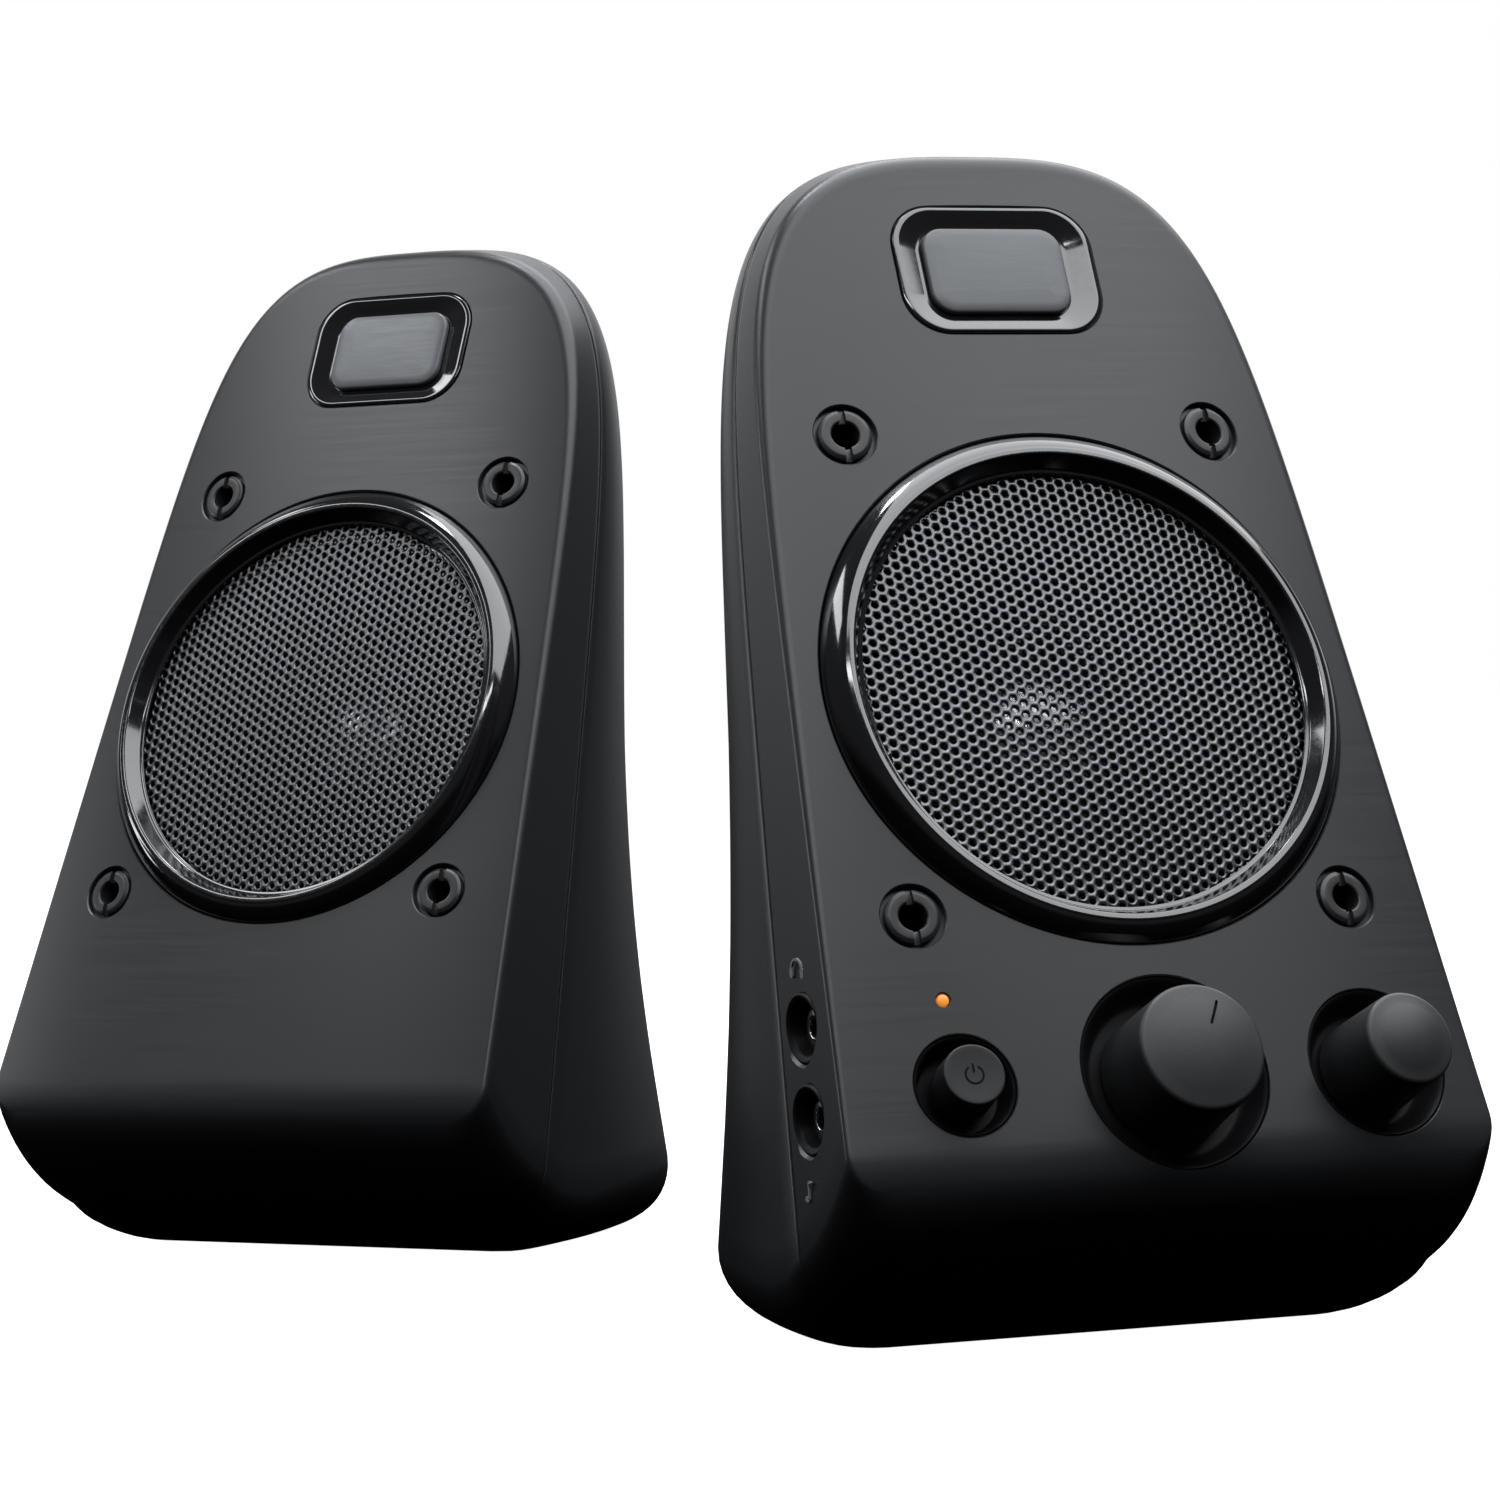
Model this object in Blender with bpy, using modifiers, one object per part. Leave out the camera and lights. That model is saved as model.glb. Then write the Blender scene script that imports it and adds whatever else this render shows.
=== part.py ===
"""A pair of desktop speakers: a plain left satellite and a right one with the controls.

Every size below is in millimetres. Each satellite is built in its own frame, x to its
right, y to its back and z up, with the origin on the desk under the driver's centre.
Pieces on the front sit in the face frame: u across, v up the leaning face, w outward.
"""

import math

import bmesh
import bpy
import numpy as np
from mathutils import Matrix

MM = 0.001

# Cabinet outline, seen from the front
BODY_HEIGHT = 195.8
DRIVER_HEIGHT = 106.0
FACE_LEAN = 24.2
LIP_HEIGHT = 29.0
LIP_HALF_WIDTH = 57.2
SIDE_TAPER = 0.078
CROWN_SHARPNESS = 9.8
SHOULDER_SHARPNESS = 3.1
LIP_CORNER = 6.5

# Face and side walls
FACE_CROWN = 3.4
FACE_CROWN_POWER = 2.5
EDGE_ROUND_LOW = 1.6
EDGE_ROUND_HIGH = 2.8
EDGE_ROUND_LIP = 4.6
SIDE_FLARE = 0.6
WALL = 2.4
SEAM_Y_AT_LIP = -6.3
SEAM_SLOPE = 0.335
SEAM_GAP = 0.5

# Underside and back
FOOT_DROP = 1.0
CHIN_END_Y = 8.5
CHIN_POWER = 2.2
HULL_WIDTH = 30.0
HULL_RISE = 10.5
BASE_CORNER_WIDTH = 22.0
BASE_CORNER_RISE = 12.0
BACK_Y = 62.0
TAIL_LENGTH = 30.0
TAIL_HEIGHT = 55.0
TAIL_POWER = 1.5
BACK_TOP_ROUND = 9.0
BACK_BASE_ROUND = 6.0
BACK_BULGE = 2.0
BACK_ROUND_LOW = 2.1
BACK_ROUND_HIGH = 2.3

# Fits
FIT = 0.3
SLIDE_FIT = 0.5
TOOL_REACH = 4.0

# Driver
CONE_SHARE_DEPTH = 0.41
CONE_SHEET = 0.8
CONE_GLUE = 1.8
CONE_SAG = 1.2
CONE_STROKE = 2.0
ROLL_START = 0.6
ROLL_WIDTH = 3.4
ROLL_FLANGE = 2.2
SURROUND_DROP = 2.6
SURROUND_ROLL = 2.7
SURROUND_SHEET = 0.8
BASKET_FLANGE = 3.8
BASKET_RIM_THICK = 2.0
BASKET_SHARE_BACK = 0.8525
BASKET_SHEET = 1.4
BASKET_CUP = 2.0
BASKET_WINDOW = 14.0
COIL_SHARE = 0.3016
COIL_SHEET = 0.8
COIL_GAP = 0.7
COIL_STAND = 0.5
COIL_CLEAR = 6.4
SPIDER_SHARE = 0.4557
SPIDER_SHEET = 0.7
SPIDER_WAVE = 1.2
SHELF_BORE = 2.0
DUST_CAP_SHARE = 0.41
DUST_CAP_RISE = 6.5
MAGNET_SHARE = 0.885
MAGNET_THICK = 12.0
YOKE_THICK = 4.0
YOKE_CHAMFER = 1.0

# Driver trim and grille
ROLL_CLEAR = 0.9
GRILLE_LEDGE = 2.7
FUNNEL_WIDTH = 3.1
RING_CREST = 0.7
RING_SHOULDER = 0.4
RING_FLANK = 3.6
RING_TOP_SHARE = 0.4622
RING_LIP_SHARE = 0.5354
RING_LIP_PROUD = 2.0
RING_DEPTH = 6.0
GRILLE_RECESS = 1.6
GRILLE_SHEET = 0.8
GRILLE_PITCH = 10.2
GRILLE_HOLE = 7.6
GRILLE_RIM = 2.4

# Badge
BADGE_PLACE = 0.588
BEZEL_SHARE_WIDE = 0.797
BEZEL_SHARE_TALL = 0.522
BEZEL_SHARE_CORNER = 0.21
BEZEL_SHARE_SIDE = 0.113
BEZEL_SHARE_EDGE = 0.080
PLATE_SHARE_CORNER = 0.14
BEZEL_PROUD = 0.9
BADGE_POCKET = 1.3
PLATE_PROUD = 0.4

# Fixing collars
COLLAR_TOP_STAND = 11.6
COLLAR_TOP_ANGLE = 54.6
COLLAR_LOW_STAND = 8.76
COLLAR_LOW_ANGLE = -45.1
COLLAR_FLANGE = 4.6
COLLAR_GROOVE = 0.8
COLLAR_FLANGE_THICK = 1.0
COLLAR_SHANK = 3.4
COLLAR_LENGTH = 6.0
COLLAR_BORE = 2.3
COLLAR_SLIT = 1.2
COLLAR_SLIT_DEPTH = 0.6
COLLAR_RECESS = 1.3

# Controls
CONTROL_PLACE = 0.551
POWER_U = -35.2
VOLUME_U = 0.4
BASS_U = 36.6
POWER_SHARE = 0.1836
VOLUME_SHARE = 0.354
BASS_SHARE = 0.2743
DISH_DEPTH = 4.4
DISH_SHEET = 1.2
DISH_SINK = 0.35
POWER_WELL = 3.15
POWER_RISE = 5.0
POWER_STEM = 2.4
POWER_STROKE = 1.5
VOLUME_WELL = 5.0
VOLUME_RISE = 12.0
BASS_WELL = 4.15
BASS_RISE = 12.0
KNOB_TAPER = 0.5
KNOB_EDGE = 1.4
KNOB_CROWN = 0.6
KNOB_SOCKET = 8.0
SHAFT_RADIUS = 3.0
POINTER_WIDTH = 0.9
POINTER_LENGTH = 4.6
POINTER_DEPTH = 0.5
POINTER_ANGLE = -28.0
POT_SHARE = 0.51
POT_BUSH = 4.6
POT_BUSH_RISE = 2.6
SWITCH_SIDE = 9.0
BOARD_DEPTH = 19.5
BOARD_THICK = 1.6
BOARD_CLEAR = 3.2
BOARD_TALL = 26.0
LED_OFFSET = -0.8
LED_RISE = 6.0
LED_RADIUS = 1.0

# Jacks on the control satellite's side wall
JACK_SETBACK = 16.0
JACK_Z = 53.4
JACK_STEP_SETBACK = 1.7
JACK_STEP_Z = -14.0
JACK_TURN = 6.0
JACK_TIP = -3.0
JACK_RADIUS = 5.6
JACK_CUP = 4.4
JACK_CUP_DEPTH = 3.2
JACK_BORE = 1.8
JACK_LENGTH = 12.0
JACK_SINK = 0.3

# Foot and rear gland
FOOT_HALF_WIDTH = 32.0
FOOT_FRONT_Y = 13.5
FOOT_BACK_Y = 66.0
FOOT_CORNER = 12.0
FOOT_POCKET = 1.1
GLAND_Z = 22.0
GLAND_RADIUS = 5.0
GLAND_FLANGE = 6.5
GLAND_FLANGE_THICK = 2.0
GLAND_BORE = 1.9
GLAND_LENGTH = 9.0
GLAND_STAND = 1.0

# Where the two satellites stand
RIGHT_X = 69.878
RIGHT_Y = -101.184
RIGHT_TOE = 21.6
LEFT_X = -69.922
LEFT_Y = 66.479
LEFT_TOE = -29.8

# Facets
OUTLINE_STEPS = 10
OUTLINE_SPACING = 2.2
CORNER_STEPS = 3
BASE_STEPS = 1
BACK_STEPS = 6
RING_STEPS = 25
DRIVER_STEPS = 14
KNOB_STEPS = 16
SMALL_STEPS = 8

BACK_TURN = math.radians(90.0 - 45.0 / BACK_STEPS)
LEAN = math.radians(FACE_LEAN)
FACE_TURN = math.radians(90.0 - FACE_LEAN)
FACE_TOP_V = (BODY_HEIGHT - SIDE_FLARE - DRIVER_HEIGHT) / math.cos(LEAN)
FACE_LIP_V = (LIP_HEIGHT - DRIVER_HEIGHT) / math.cos(LEAN)
RING_OUTER = min(RING_TOP_SHARE * FACE_TOP_V, -RING_LIP_SHARE * FACE_LIP_V)
RING_LIP = RING_OUTER - RING_FLANK
RING_THROAT = RING_LIP - FUNNEL_WIDTH
RING_SEAT = RING_THROAT - GRILLE_LEDGE
CONE_RADIUS = RING_SEAT - ROLL_CLEAR - 0.5 * SURROUND_SHEET - ROLL_WIDTH - ROLL_START
CONE_DEPTH = CONE_SHARE_DEPTH * CONE_RADIUS
SURROUND_EDGE = CONE_RADIUS + ROLL_START + ROLL_WIDTH + ROLL_FLANGE
BASKET_RIM = SURROUND_EDGE + BASKET_FLANGE
BASKET_BACK = BASKET_SHARE_BACK * CONE_RADIUS
COIL_RADIUS = COIL_SHARE * CONE_RADIUS
BASKET_SHELF = COIL_RADIUS + COIL_SHEET + 2.0 * FIT + SPIDER_SHARE * CONE_RADIUS
DUST_CAP_RADIUS = DUST_CAP_SHARE * CONE_RADIUS
MAGNET_RADIUS = MAGNET_SHARE * CONE_RADIUS
BADGE_V = RING_OUTER + BADGE_PLACE * (FACE_TOP_V - RING_OUTER)
BEZEL_WIDTH = BEZEL_SHARE_WIDE * RING_OUTER
BEZEL_HEIGHT = BEZEL_SHARE_TALL * RING_OUTER
BEZEL_CORNER = BEZEL_SHARE_CORNER * RING_OUTER
BEZEL_SIDE = BEZEL_SHARE_SIDE * RING_OUTER
BEZEL_EDGE = BEZEL_SHARE_EDGE * RING_OUTER
PLATE_CORNER = PLATE_SHARE_CORNER * RING_OUTER
CONTROL_V = -RING_OUTER - CONTROL_PLACE * (-RING_OUTER - FACE_LIP_V)
POWER_DISH = POWER_SHARE * RING_OUTER
VOLUME_DISH = VOLUME_SHARE * RING_OUTER
BASS_DISH = BASS_SHARE * RING_OUTER
POWER_CAP = POWER_DISH - POWER_WELL
VOLUME_KNOB = VOLUME_DISH - VOLUME_WELL
BASS_KNOB = BASS_DISH - BASS_WELL
VOLUME_POT = POT_SHARE * VOLUME_DISH
BASS_POT = POT_SHARE * BASS_DISH
LED_U = POWER_U + LED_OFFSET
LED_V = CONTROL_V + POWER_DISH + LED_RISE
BOARD_WIDTH = 2.0 * (LIP_HALF_WIDTH - JACK_LENGTH - BOARD_CLEAR)


# Scene helpers

for old in list(bpy.data.objects):
    bpy.data.objects.remove(old, do_unlink=True)

parts = bpy.data.collections.new("desktop_speakers")
bpy.context.scene.collection.children.link(parts)
cutters = bpy.data.collections.new("cutters")
bpy.context.scene.collection.children.link(cutters)


def material(name, colour, roughness, metallic=0.0):
    """A plain Principled material."""
    found = bpy.data.materials.new(name)
    found.use_nodes = True
    shader = found.node_tree.nodes["Principled BSDF"]
    shader.inputs["Base Color"].default_value = (*colour, 1.0)
    shader.inputs["Roughness"].default_value = roughness
    shader.inputs["Metallic"].default_value = metallic
    return found


CHARCOAL = material("charcoal_plastic", (0.035, 0.036, 0.040), 0.42)
GLOSS = material("gloss_black", (0.010, 0.010, 0.012), 0.12)
SATIN = material("satin_grey", (0.080, 0.082, 0.088), 0.35)
MESH_METAL = material("grille_metal", (0.060, 0.061, 0.065), 0.40, 0.8)
RUBBER = material("rubber", (0.012, 0.012, 0.012), 0.75)
PAPER = material("cone_paper", (0.030, 0.030, 0.032), 0.80)
STEEL = material("plated_steel", (0.45, 0.45, 0.46), 0.35, 1.0)
FERRITE = material("ferrite", (0.040, 0.040, 0.042), 0.60)
ALLOY = material("bright_alloy", (0.60, 0.61, 0.63), 0.25, 1.0)
COPPER = material("coil_former", (0.50, 0.25, 0.10), 0.35, 1.0)
CLOTH = material("spider_cloth", (0.35, 0.22, 0.08), 0.85)
BOARD = material("circuit_board", (0.02, 0.10, 0.04), 0.50)
AMBER = material("amber_lens", (0.80, 0.25, 0.03), 0.25)


def empty(name, parent, location, turn=(0.0, 0.0, 0.0)):
    """A frame to hang pieces on."""
    obj = bpy.data.objects.new(name, None)
    parts.objects.link(obj)
    obj.parent = parent
    obj.location = [c * MM for c in location]
    obj.rotation_euler = turn
    return obj


def add(name, mesh, parent, look, location=(0.0, 0.0, 0.0), turn=(0.0, 0.0, 0.0)):
    """Put a mesh in the scene as a part, or as a hidden cutter when it has no look."""
    obj = bpy.data.objects.new(name, mesh)
    obj.parent = parent
    obj.location = [c * MM for c in location]
    obj.rotation_euler = turn
    if look is None:
        cutters.objects.link(obj)
        obj.hide_render = True
        obj.display_type = "WIRE"
    else:
        parts.objects.link(obj)
        mesh.materials.append(look)
    return obj


def from_bmesh(name, bm):
    """Scale a shape drawn in millimetres and hand it over as a mesh."""
    bmesh.ops.scale(bm, vec=(MM, MM, MM), verts=bm.verts)
    mesh = bpy.data.meshes.new(name)
    bm.to_mesh(mesh)
    bm.free()
    return mesh


def turned(name, profile, steps, parent, look, location=(0.0, 0.0, 0.0), turn=(0.0, 0.0, 0.0)):
    """Spin an (r, w) profile about w. It starts at the top inside and runs outward and down."""
    bm = bmesh.new()
    ring = [bm.verts.new((r, 0.0, w)) for r, w in profile]
    for a, b in zip(ring, ring[1:]):
        bm.edges.new((a, b))
    if profile[0][0] > 0.0:
        bm.edges.new((ring[-1], ring[0]))
    obj = add(name, from_bmesh(name, bm), parent, look, location, turn)
    spin = obj.modifiers.new("Turn", "SCREW")
    spin.axis = "Z"
    spin.steps = steps
    spin.render_steps = steps
    spin.use_merge_vertices = True
    spin.merge_threshold = 0.00001
    spin.use_smooth_shade = False
    return obj


def slab(name, outline, low, high, parent, look, location=(0.0, 0.0, 0.0), turn=(0.0, 0.0, 0.0)):
    """Extrude a closed outline of (x, y) points from low to high."""
    bm = bmesh.new()
    face = bm.faces.new([bm.verts.new((x, y, low)) for x, y in outline])
    grown = bmesh.ops.extrude_face_region(bm, geom=[face])
    lifted = [g for g in grown["geom"] if isinstance(g, bmesh.types.BMVert)]
    bmesh.ops.translate(bm, vec=(0.0, 0.0, high - low), verts=lifted)
    bmesh.ops.recalc_face_normals(bm, faces=bm.faces)
    return add(name, from_bmesh(name, bm), parent, look, location, turn)


def rounded(width, height, corner, steps=4, middle=(0.0, 0.0)):
    """A rectangle's outline with round corners."""
    points = []
    for k, (sx, sy) in enumerate(((1, 1), (-1, 1), (-1, -1), (1, -1))):
        for a in np.linspace(0.5 * math.pi * k, 0.5 * math.pi * (k + 1), steps + 1):
            x = sx * (0.5 * width - corner) + corner * math.cos(a)
            y = sy * (0.5 * height - corner) + corner * math.sin(a)
            points.append((middle[0] + x, middle[1] + y))
    return points


def cut(obj, tool):
    """Take a tool's volume away from a piece."""
    mod = obj.modifiers.new("Cut " + tool.name, "BOOLEAN")
    mod.operation = "DIFFERENCE"
    mod.solver = "EXACT"
    mod.object = tool


# Cabinet surface


def straight_half(share):
    """The half width that the straight taper of the sides gives at a share of the way up."""
    return LIP_HALF_WIDTH - SIDE_TAPER * share * (BODY_HEIGHT - LIP_HEIGHT)


def half_width(share):
    """The face's half width at a share of the way from the lip to the top."""
    arch = np.clip(1.0 - share**CROWN_SHARPNESS, 0.0, None) ** (1.0 / SHOULDER_SHARPNESS)
    return straight_half(share) * arch


def outward(x, z):
    """Outward normals along a right half outline that runs from the top to the bottom."""
    wide = np.concatenate([[-x[1]], x, [-x[-2]]])
    tall = np.concatenate([[z[1]], z, [z[-2]]])
    along_x = wide[2:] - wide[:-2]
    along_z = tall[2:] - tall[:-2]
    length = np.hypot(along_x, along_z)
    return -along_z / length, along_x / length


def outline(low, high, corner_x, corner_z, grow=0.0):
    """Half an outline from the top centre to the bottom centre, grown outward inside its limits."""
    low = low + grow
    high = high - grow
    bend = low + corner_z
    z = high - (high - bend) * np.linspace(0.0, 1.0, OUTLINE_STEPS + 1) ** OUTLINE_SPACING
    start = min(LIP_HEIGHT, bend)
    x = half_width(np.clip((z - start) / (high - start), 0.0, 1.0))
    a = np.linspace(0.0, 0.5 * math.pi, CORNER_STEPS + 1)[1:]
    corner = x[-1] - corner_x + corner_x * np.cos(a)
    base = np.linspace(corner[-1], 0.0, BASE_STEPS + 1)[1:]
    x = np.concatenate([x, corner, base])
    z = np.concatenate([z, bend - corner_z * np.sin(a), np.full(BASE_STEPS, low)])
    nx, nz = outward(x, z)
    return x + grow * nx, z + grow * nz


def face_y(z):
    """How far back the leaning face plane is at a height."""
    return (z - DRIVER_HEIGHT) * math.tan(LEAN)


def seam_y(z):
    """How far back the split between the shells is at a height."""
    return SEAM_Y_AT_LIP + SEAM_SLOPE * (z - LIP_HEIGHT)


def back_y(z):
    """How far back the rear wall is at a height: upright above, with a tail at the base."""
    return BACK_Y + TAIL_LENGTH * np.exp(-((np.clip(z, 0.0, None) / TAIL_HEIGHT) ** TAIL_POWER))


def spine_y(z):
    """How far back the narrow strip that closes the rear shell is at a height."""
    share = math.sin(BACK_TURN) ** (2.0 / BACK_ROUND_LOW)
    return float(seam_y(z) + (back_y(z) - seam_y(z)) * share)


def floor_z(y):
    """The underside's height: the chin's curve, then the flat base."""
    run = np.clip((CHIN_END_Y - y) / (CHIN_END_Y - face_y(LIP_HEIGHT)), 0.0, None)
    return FOOT_DROP + (LIP_HEIGHT - FOOT_DROP) * run**CHIN_POWER


def seam_floor():
    """The height where the seam meets the underside."""
    z = FOOT_DROP
    for _ in range(60):
        z = 0.5 * (z + floor_z(seam_y(z)))
    return float(z)


def chin_slope(low):
    """How steeply the underside runs down where the seam meets it."""
    return float(floor_z(seam_y(low) - 0.5) - floor_z(seam_y(low) + 0.5))


def height_share(z):
    """The share of the way from the lip to the top at a height."""
    return np.clip((z - LIP_HEIGHT) / (BODY_HEIGHT - LIP_HEIGHT), 0.0, 1.0)


def face_w(u, v):
    """How far the bowed face falls away from its plane at a place on it."""
    half = straight_half(height_share(DRIVER_HEIGHT + v * math.cos(LEAN)))
    return -FACE_CROWN * np.clip(np.abs(u) / half, 0.0, 1.0) ** FACE_CROWN_POWER


def face_drop(u, v):
    """The face surface's w at a single place."""
    return float(face_w(np.array(u), np.array(v)))


def face_tilt(u, v):
    """The turn about v that stands a piece square to the bowed face."""
    return math.atan((face_drop(u - 0.5, v) - face_drop(u + 0.5, v)))


def on_face(u, v, w):
    """Face coordinates to the satellite's own frame."""
    y = v * math.sin(LEAN) - w * math.cos(LEAN)
    z = DRIVER_HEIGHT + v * math.cos(LEAN) + w * math.sin(LEAN)
    return np.stack([u, y, z], axis=-1)


def side_row(g):
    """A half section of the front shell's side, from the face's sharp edge at 0 to the seam at 1."""
    low = seam_floor()
    base = floor_z((1.0 - g) * face_y(LIP_HEIGHT) + g * seam_y(low))
    wide = LIP_CORNER + (HULL_WIDTH - LIP_CORNER) * g
    rise = LIP_CORNER + (HULL_RISE - LIP_CORNER) * g
    x, z = outline(base, BODY_HEIGHT - SIDE_FLARE * (1.0 - g), wide, rise, SIDE_FLARE * g)
    half = straight_half(height_share(z))
    drop = FACE_CROWN * np.clip(x / half, 0.0, 1.0) ** FACE_CROWN_POWER
    y = (1.0 - g) * (face_y(z) + drop / math.cos(LEAN)) + g * seam_y(z)
    return np.stack([x, y, z], axis=-1)


def front_sections():
    """Half sections of the front shell, from inside the face, over its edge and back past the seam."""
    corner = side_row(0.0)
    middle = side_row(0.5)
    seam = side_row(1.0)
    u = corner[:, 0]
    v = corner[:, 1] * math.sin(LEAN) + (corner[:, 2] - DRIVER_HEIGHT) * math.cos(LEAN)
    nu, nv = outward(u, v)
    size = EDGE_ROUND_LOW + (EDGE_ROUND_HIGH - EDGE_ROUND_LOW) * height_share(corner[:, 2])
    size = size + (EDGE_ROUND_LIP - size) * np.clip(-nv, 0.0, 1.0) ** 2
    run = np.linalg.norm(middle - corner, axis=1)
    size = np.minimum(size, 0.7 * run)
    start_u = u - nu * size
    start_v = v - nv * size
    centre = 0.5 * (start_v.max() + start_v.min())
    sections = []
    for share in (0.65, 1.0):
        across = start_u * share
        up = centre + (start_v - centre) * share
        sections.append(on_face(across, up, face_w(across, up)))
    end = corner + (middle - corner) * (size / run)[:, None]
    sections.append(0.25 * sections[-1] + 0.5 * corner + 0.25 * end)
    sections += [end, middle, seam]
    low = seam_floor()
    past = seam.copy()
    past[:, 1] += 2.0 * WALL
    past[:, 2] -= 2.0 * WALL * chin_slope(low) * np.clip((LIP_HEIGHT - past[:, 2]) / LIP_HEIGHT, 0.0, 1.0)
    sections.append(past)
    return sections


def rear_sections():
    """Half sections of the rear shell, from in front of the seam round to the back."""
    low = seam_floor()
    sections = []
    for a in np.linspace(0.0, BACK_TURN, BACK_STEPS + 1):
        deep = math.sin(a) ** (2.0 / BACK_ROUND_LOW)
        wide = math.cos(a) ** (2.0 / BACK_ROUND_LOW)
        y = seam_y(low) + (back_y(0.0) - seam_y(low)) * deep
        g = float(np.clip((y - seam_y(low)) / (FOOT_FRONT_Y + FOOT_CORNER - seam_y(low)), 0.0, 1.0))
        base = floor_z(y) + BACK_BASE_ROUND * (1.0 - wide)
        top = BODY_HEIGHT - BACK_TOP_ROUND * (1.0 - wide)
        corner_x = HULL_WIDTH + (BASE_CORNER_WIDTH - HULL_WIDTH) * g
        corner_z = HULL_RISE + (BASE_CORNER_RISE - HULL_RISE) * g
        x, z = outline(base, top, corner_x, corner_z, SIDE_FLARE + BACK_BULGE * math.sin(2.0 * a))
        climb = np.clip((z - 0.5 * BODY_HEIGHT) / (0.5 * BODY_HEIGHT), 0.0, 1.0)
        power = 2.0 / (BACK_ROUND_LOW + (BACK_ROUND_HIGH - BACK_ROUND_LOW) * climb)
        y = seam_y(z) + (back_y(z) - seam_y(z)) * math.sin(a) ** power
        sections.append(np.stack([x * math.cos(a) ** power, y, z], axis=-1))
    ahead = sections[0].copy()
    ahead[:, 1] -= 2.0 * WALL
    ahead[:, 2] += 2.0 * WALL * chin_slope(low) * np.clip((LIP_HEIGHT - ahead[:, 2]) / LIP_HEIGHT, 0.0, 1.0)
    return [ahead] + sections


def loft(name, sections, close_first, close_last, parent, look):
    """Skin mirrored half sections with quads and give the skin its wall."""
    bm = bmesh.new()
    rows = []
    for half in sections:
        left = half[-2:0:-1] * np.array([-1.0, 1.0, 1.0])
        rows.append([bm.verts.new(p) for p in np.concatenate([half, left])])
    count = len(rows[0])
    for near, far in zip(rows, rows[1:]):
        for j in range(count):
            k = (j + 1) % count
            bm.faces.new((near[j], near[k], far[k], far[j]))
    if close_first:
        middle = bm.verts.new(np.mean([v.co for v in rows[0]], axis=0))
        for j in range(count):
            bm.faces.new((rows[0][(j + 1) % count], rows[0][j], middle))
    if close_last:
        last = rows[-1]
        mirror = [last[0]] + last[:0:-1]
        flat = len(sections[0]) - 1 - BASE_STEPS
        for j in range(flat - 1):
            ring = [last[j], last[j + 1], mirror[j + 1], mirror[j]]
            bm.faces.new(list(dict.fromkeys(ring)))
        bm.faces.new(last[flat - 1 : 2 * BASE_STEPS + flat + 2])
    obj = add(name, from_bmesh(name, bm), parent, look)
    wall = obj.modifiers.new("Wall", "SOLIDIFY")
    wall.thickness = WALL * MM
    wall.offset = -1.0
    wall.use_even_offset = True
    wall.use_quality_normals = True
    return obj


def seam_tool(name, parent, toward):
    """A block with one face on the seam, to trim a shell square."""
    size = 2.0 * BODY_HEIGHT
    shift = toward * 0.5 * (size - SEAM_GAP)
    lean = math.atan(SEAM_SLOPE)
    bm = bmesh.new()
    bmesh.ops.create_cube(bm, size=size)
    bmesh.ops.translate(bm, vec=(0.0, shift, 0.0), verts=bm.verts)
    place = (0.0, seam_y(DRIVER_HEIGHT), DRIVER_HEIGHT)
    return add(name, from_bmesh(name, bm), parent, None, place, (-lean, 0.0, 0.0))


# Pieces that both satellites have


def build_shells(side, body, face):
    """The two moulded shells with the openings that both satellites share."""
    front = loft(side + "_front_shell", front_sections(), True, False, body, CHARCOAL)
    rear = loft(side + "_rear_shell", rear_sections(), False, True, body, CHARCOAL)
    cut(front, seam_tool(side + "_front_trim", body, 1.0))
    cut(rear, seam_tool(side + "_rear_trim", body, -1.0))

    reach = RING_DEPTH + 2.0 * WALL
    hole = [(0.0, reach), (RING_OUTER + FIT, reach), (RING_OUTER + FIT, -reach), (0.0, -reach)]
    cut(front, turned(side + "_ring_hole", hole, RING_STEPS, face, None))

    pocket = rounded(BEZEL_WIDTH + 2.0 * FIT, BEZEL_HEIGHT + 2.0 * FIT, BEZEL_CORNER + FIT)
    cut(front, slab(side + "_badge_pocket", pocket, -BADGE_POCKET, reach, face, None, (0.0, BADGE_V, 0.0)))

    foot = foot_outline(FIT)
    cut(rear, slab(side + "_foot_pocket", foot, -reach, FOOT_DROP + FOOT_POCKET, body, None))

    gland = [(0.0, reach), (GLAND_RADIUS + FIT, reach), (GLAND_RADIUS + FIT, -reach), (0.0, -reach)]
    place = (0.0, spine_y(GLAND_Z), GLAND_Z)
    cut(rear, turned(side + "_gland_hole", gland, SMALL_STEPS, body, None, place, gland_turn()))
    return front, rear


def foot_outline(grow):
    """The rubber foot's outline, grown all round."""
    deep = FOOT_BACK_Y - FOOT_FRONT_Y
    middle = (0.0, 0.5 * (FOOT_BACK_Y + FOOT_FRONT_Y))
    return rounded(2.0 * (FOOT_HALF_WIDTH + grow), deep + 2.0 * grow, FOOT_CORNER + grow, 4, middle)


def gland_turn():
    """The rear wall's lean at the gland, as a turn that points w out of the back."""
    rise = (spine_y(GLAND_Z + 1.0) - spine_y(GLAND_Z - 1.0)) / 2.0
    return (math.radians(-90.0) - math.atan(rise), 0.0, 0.0)


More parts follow.
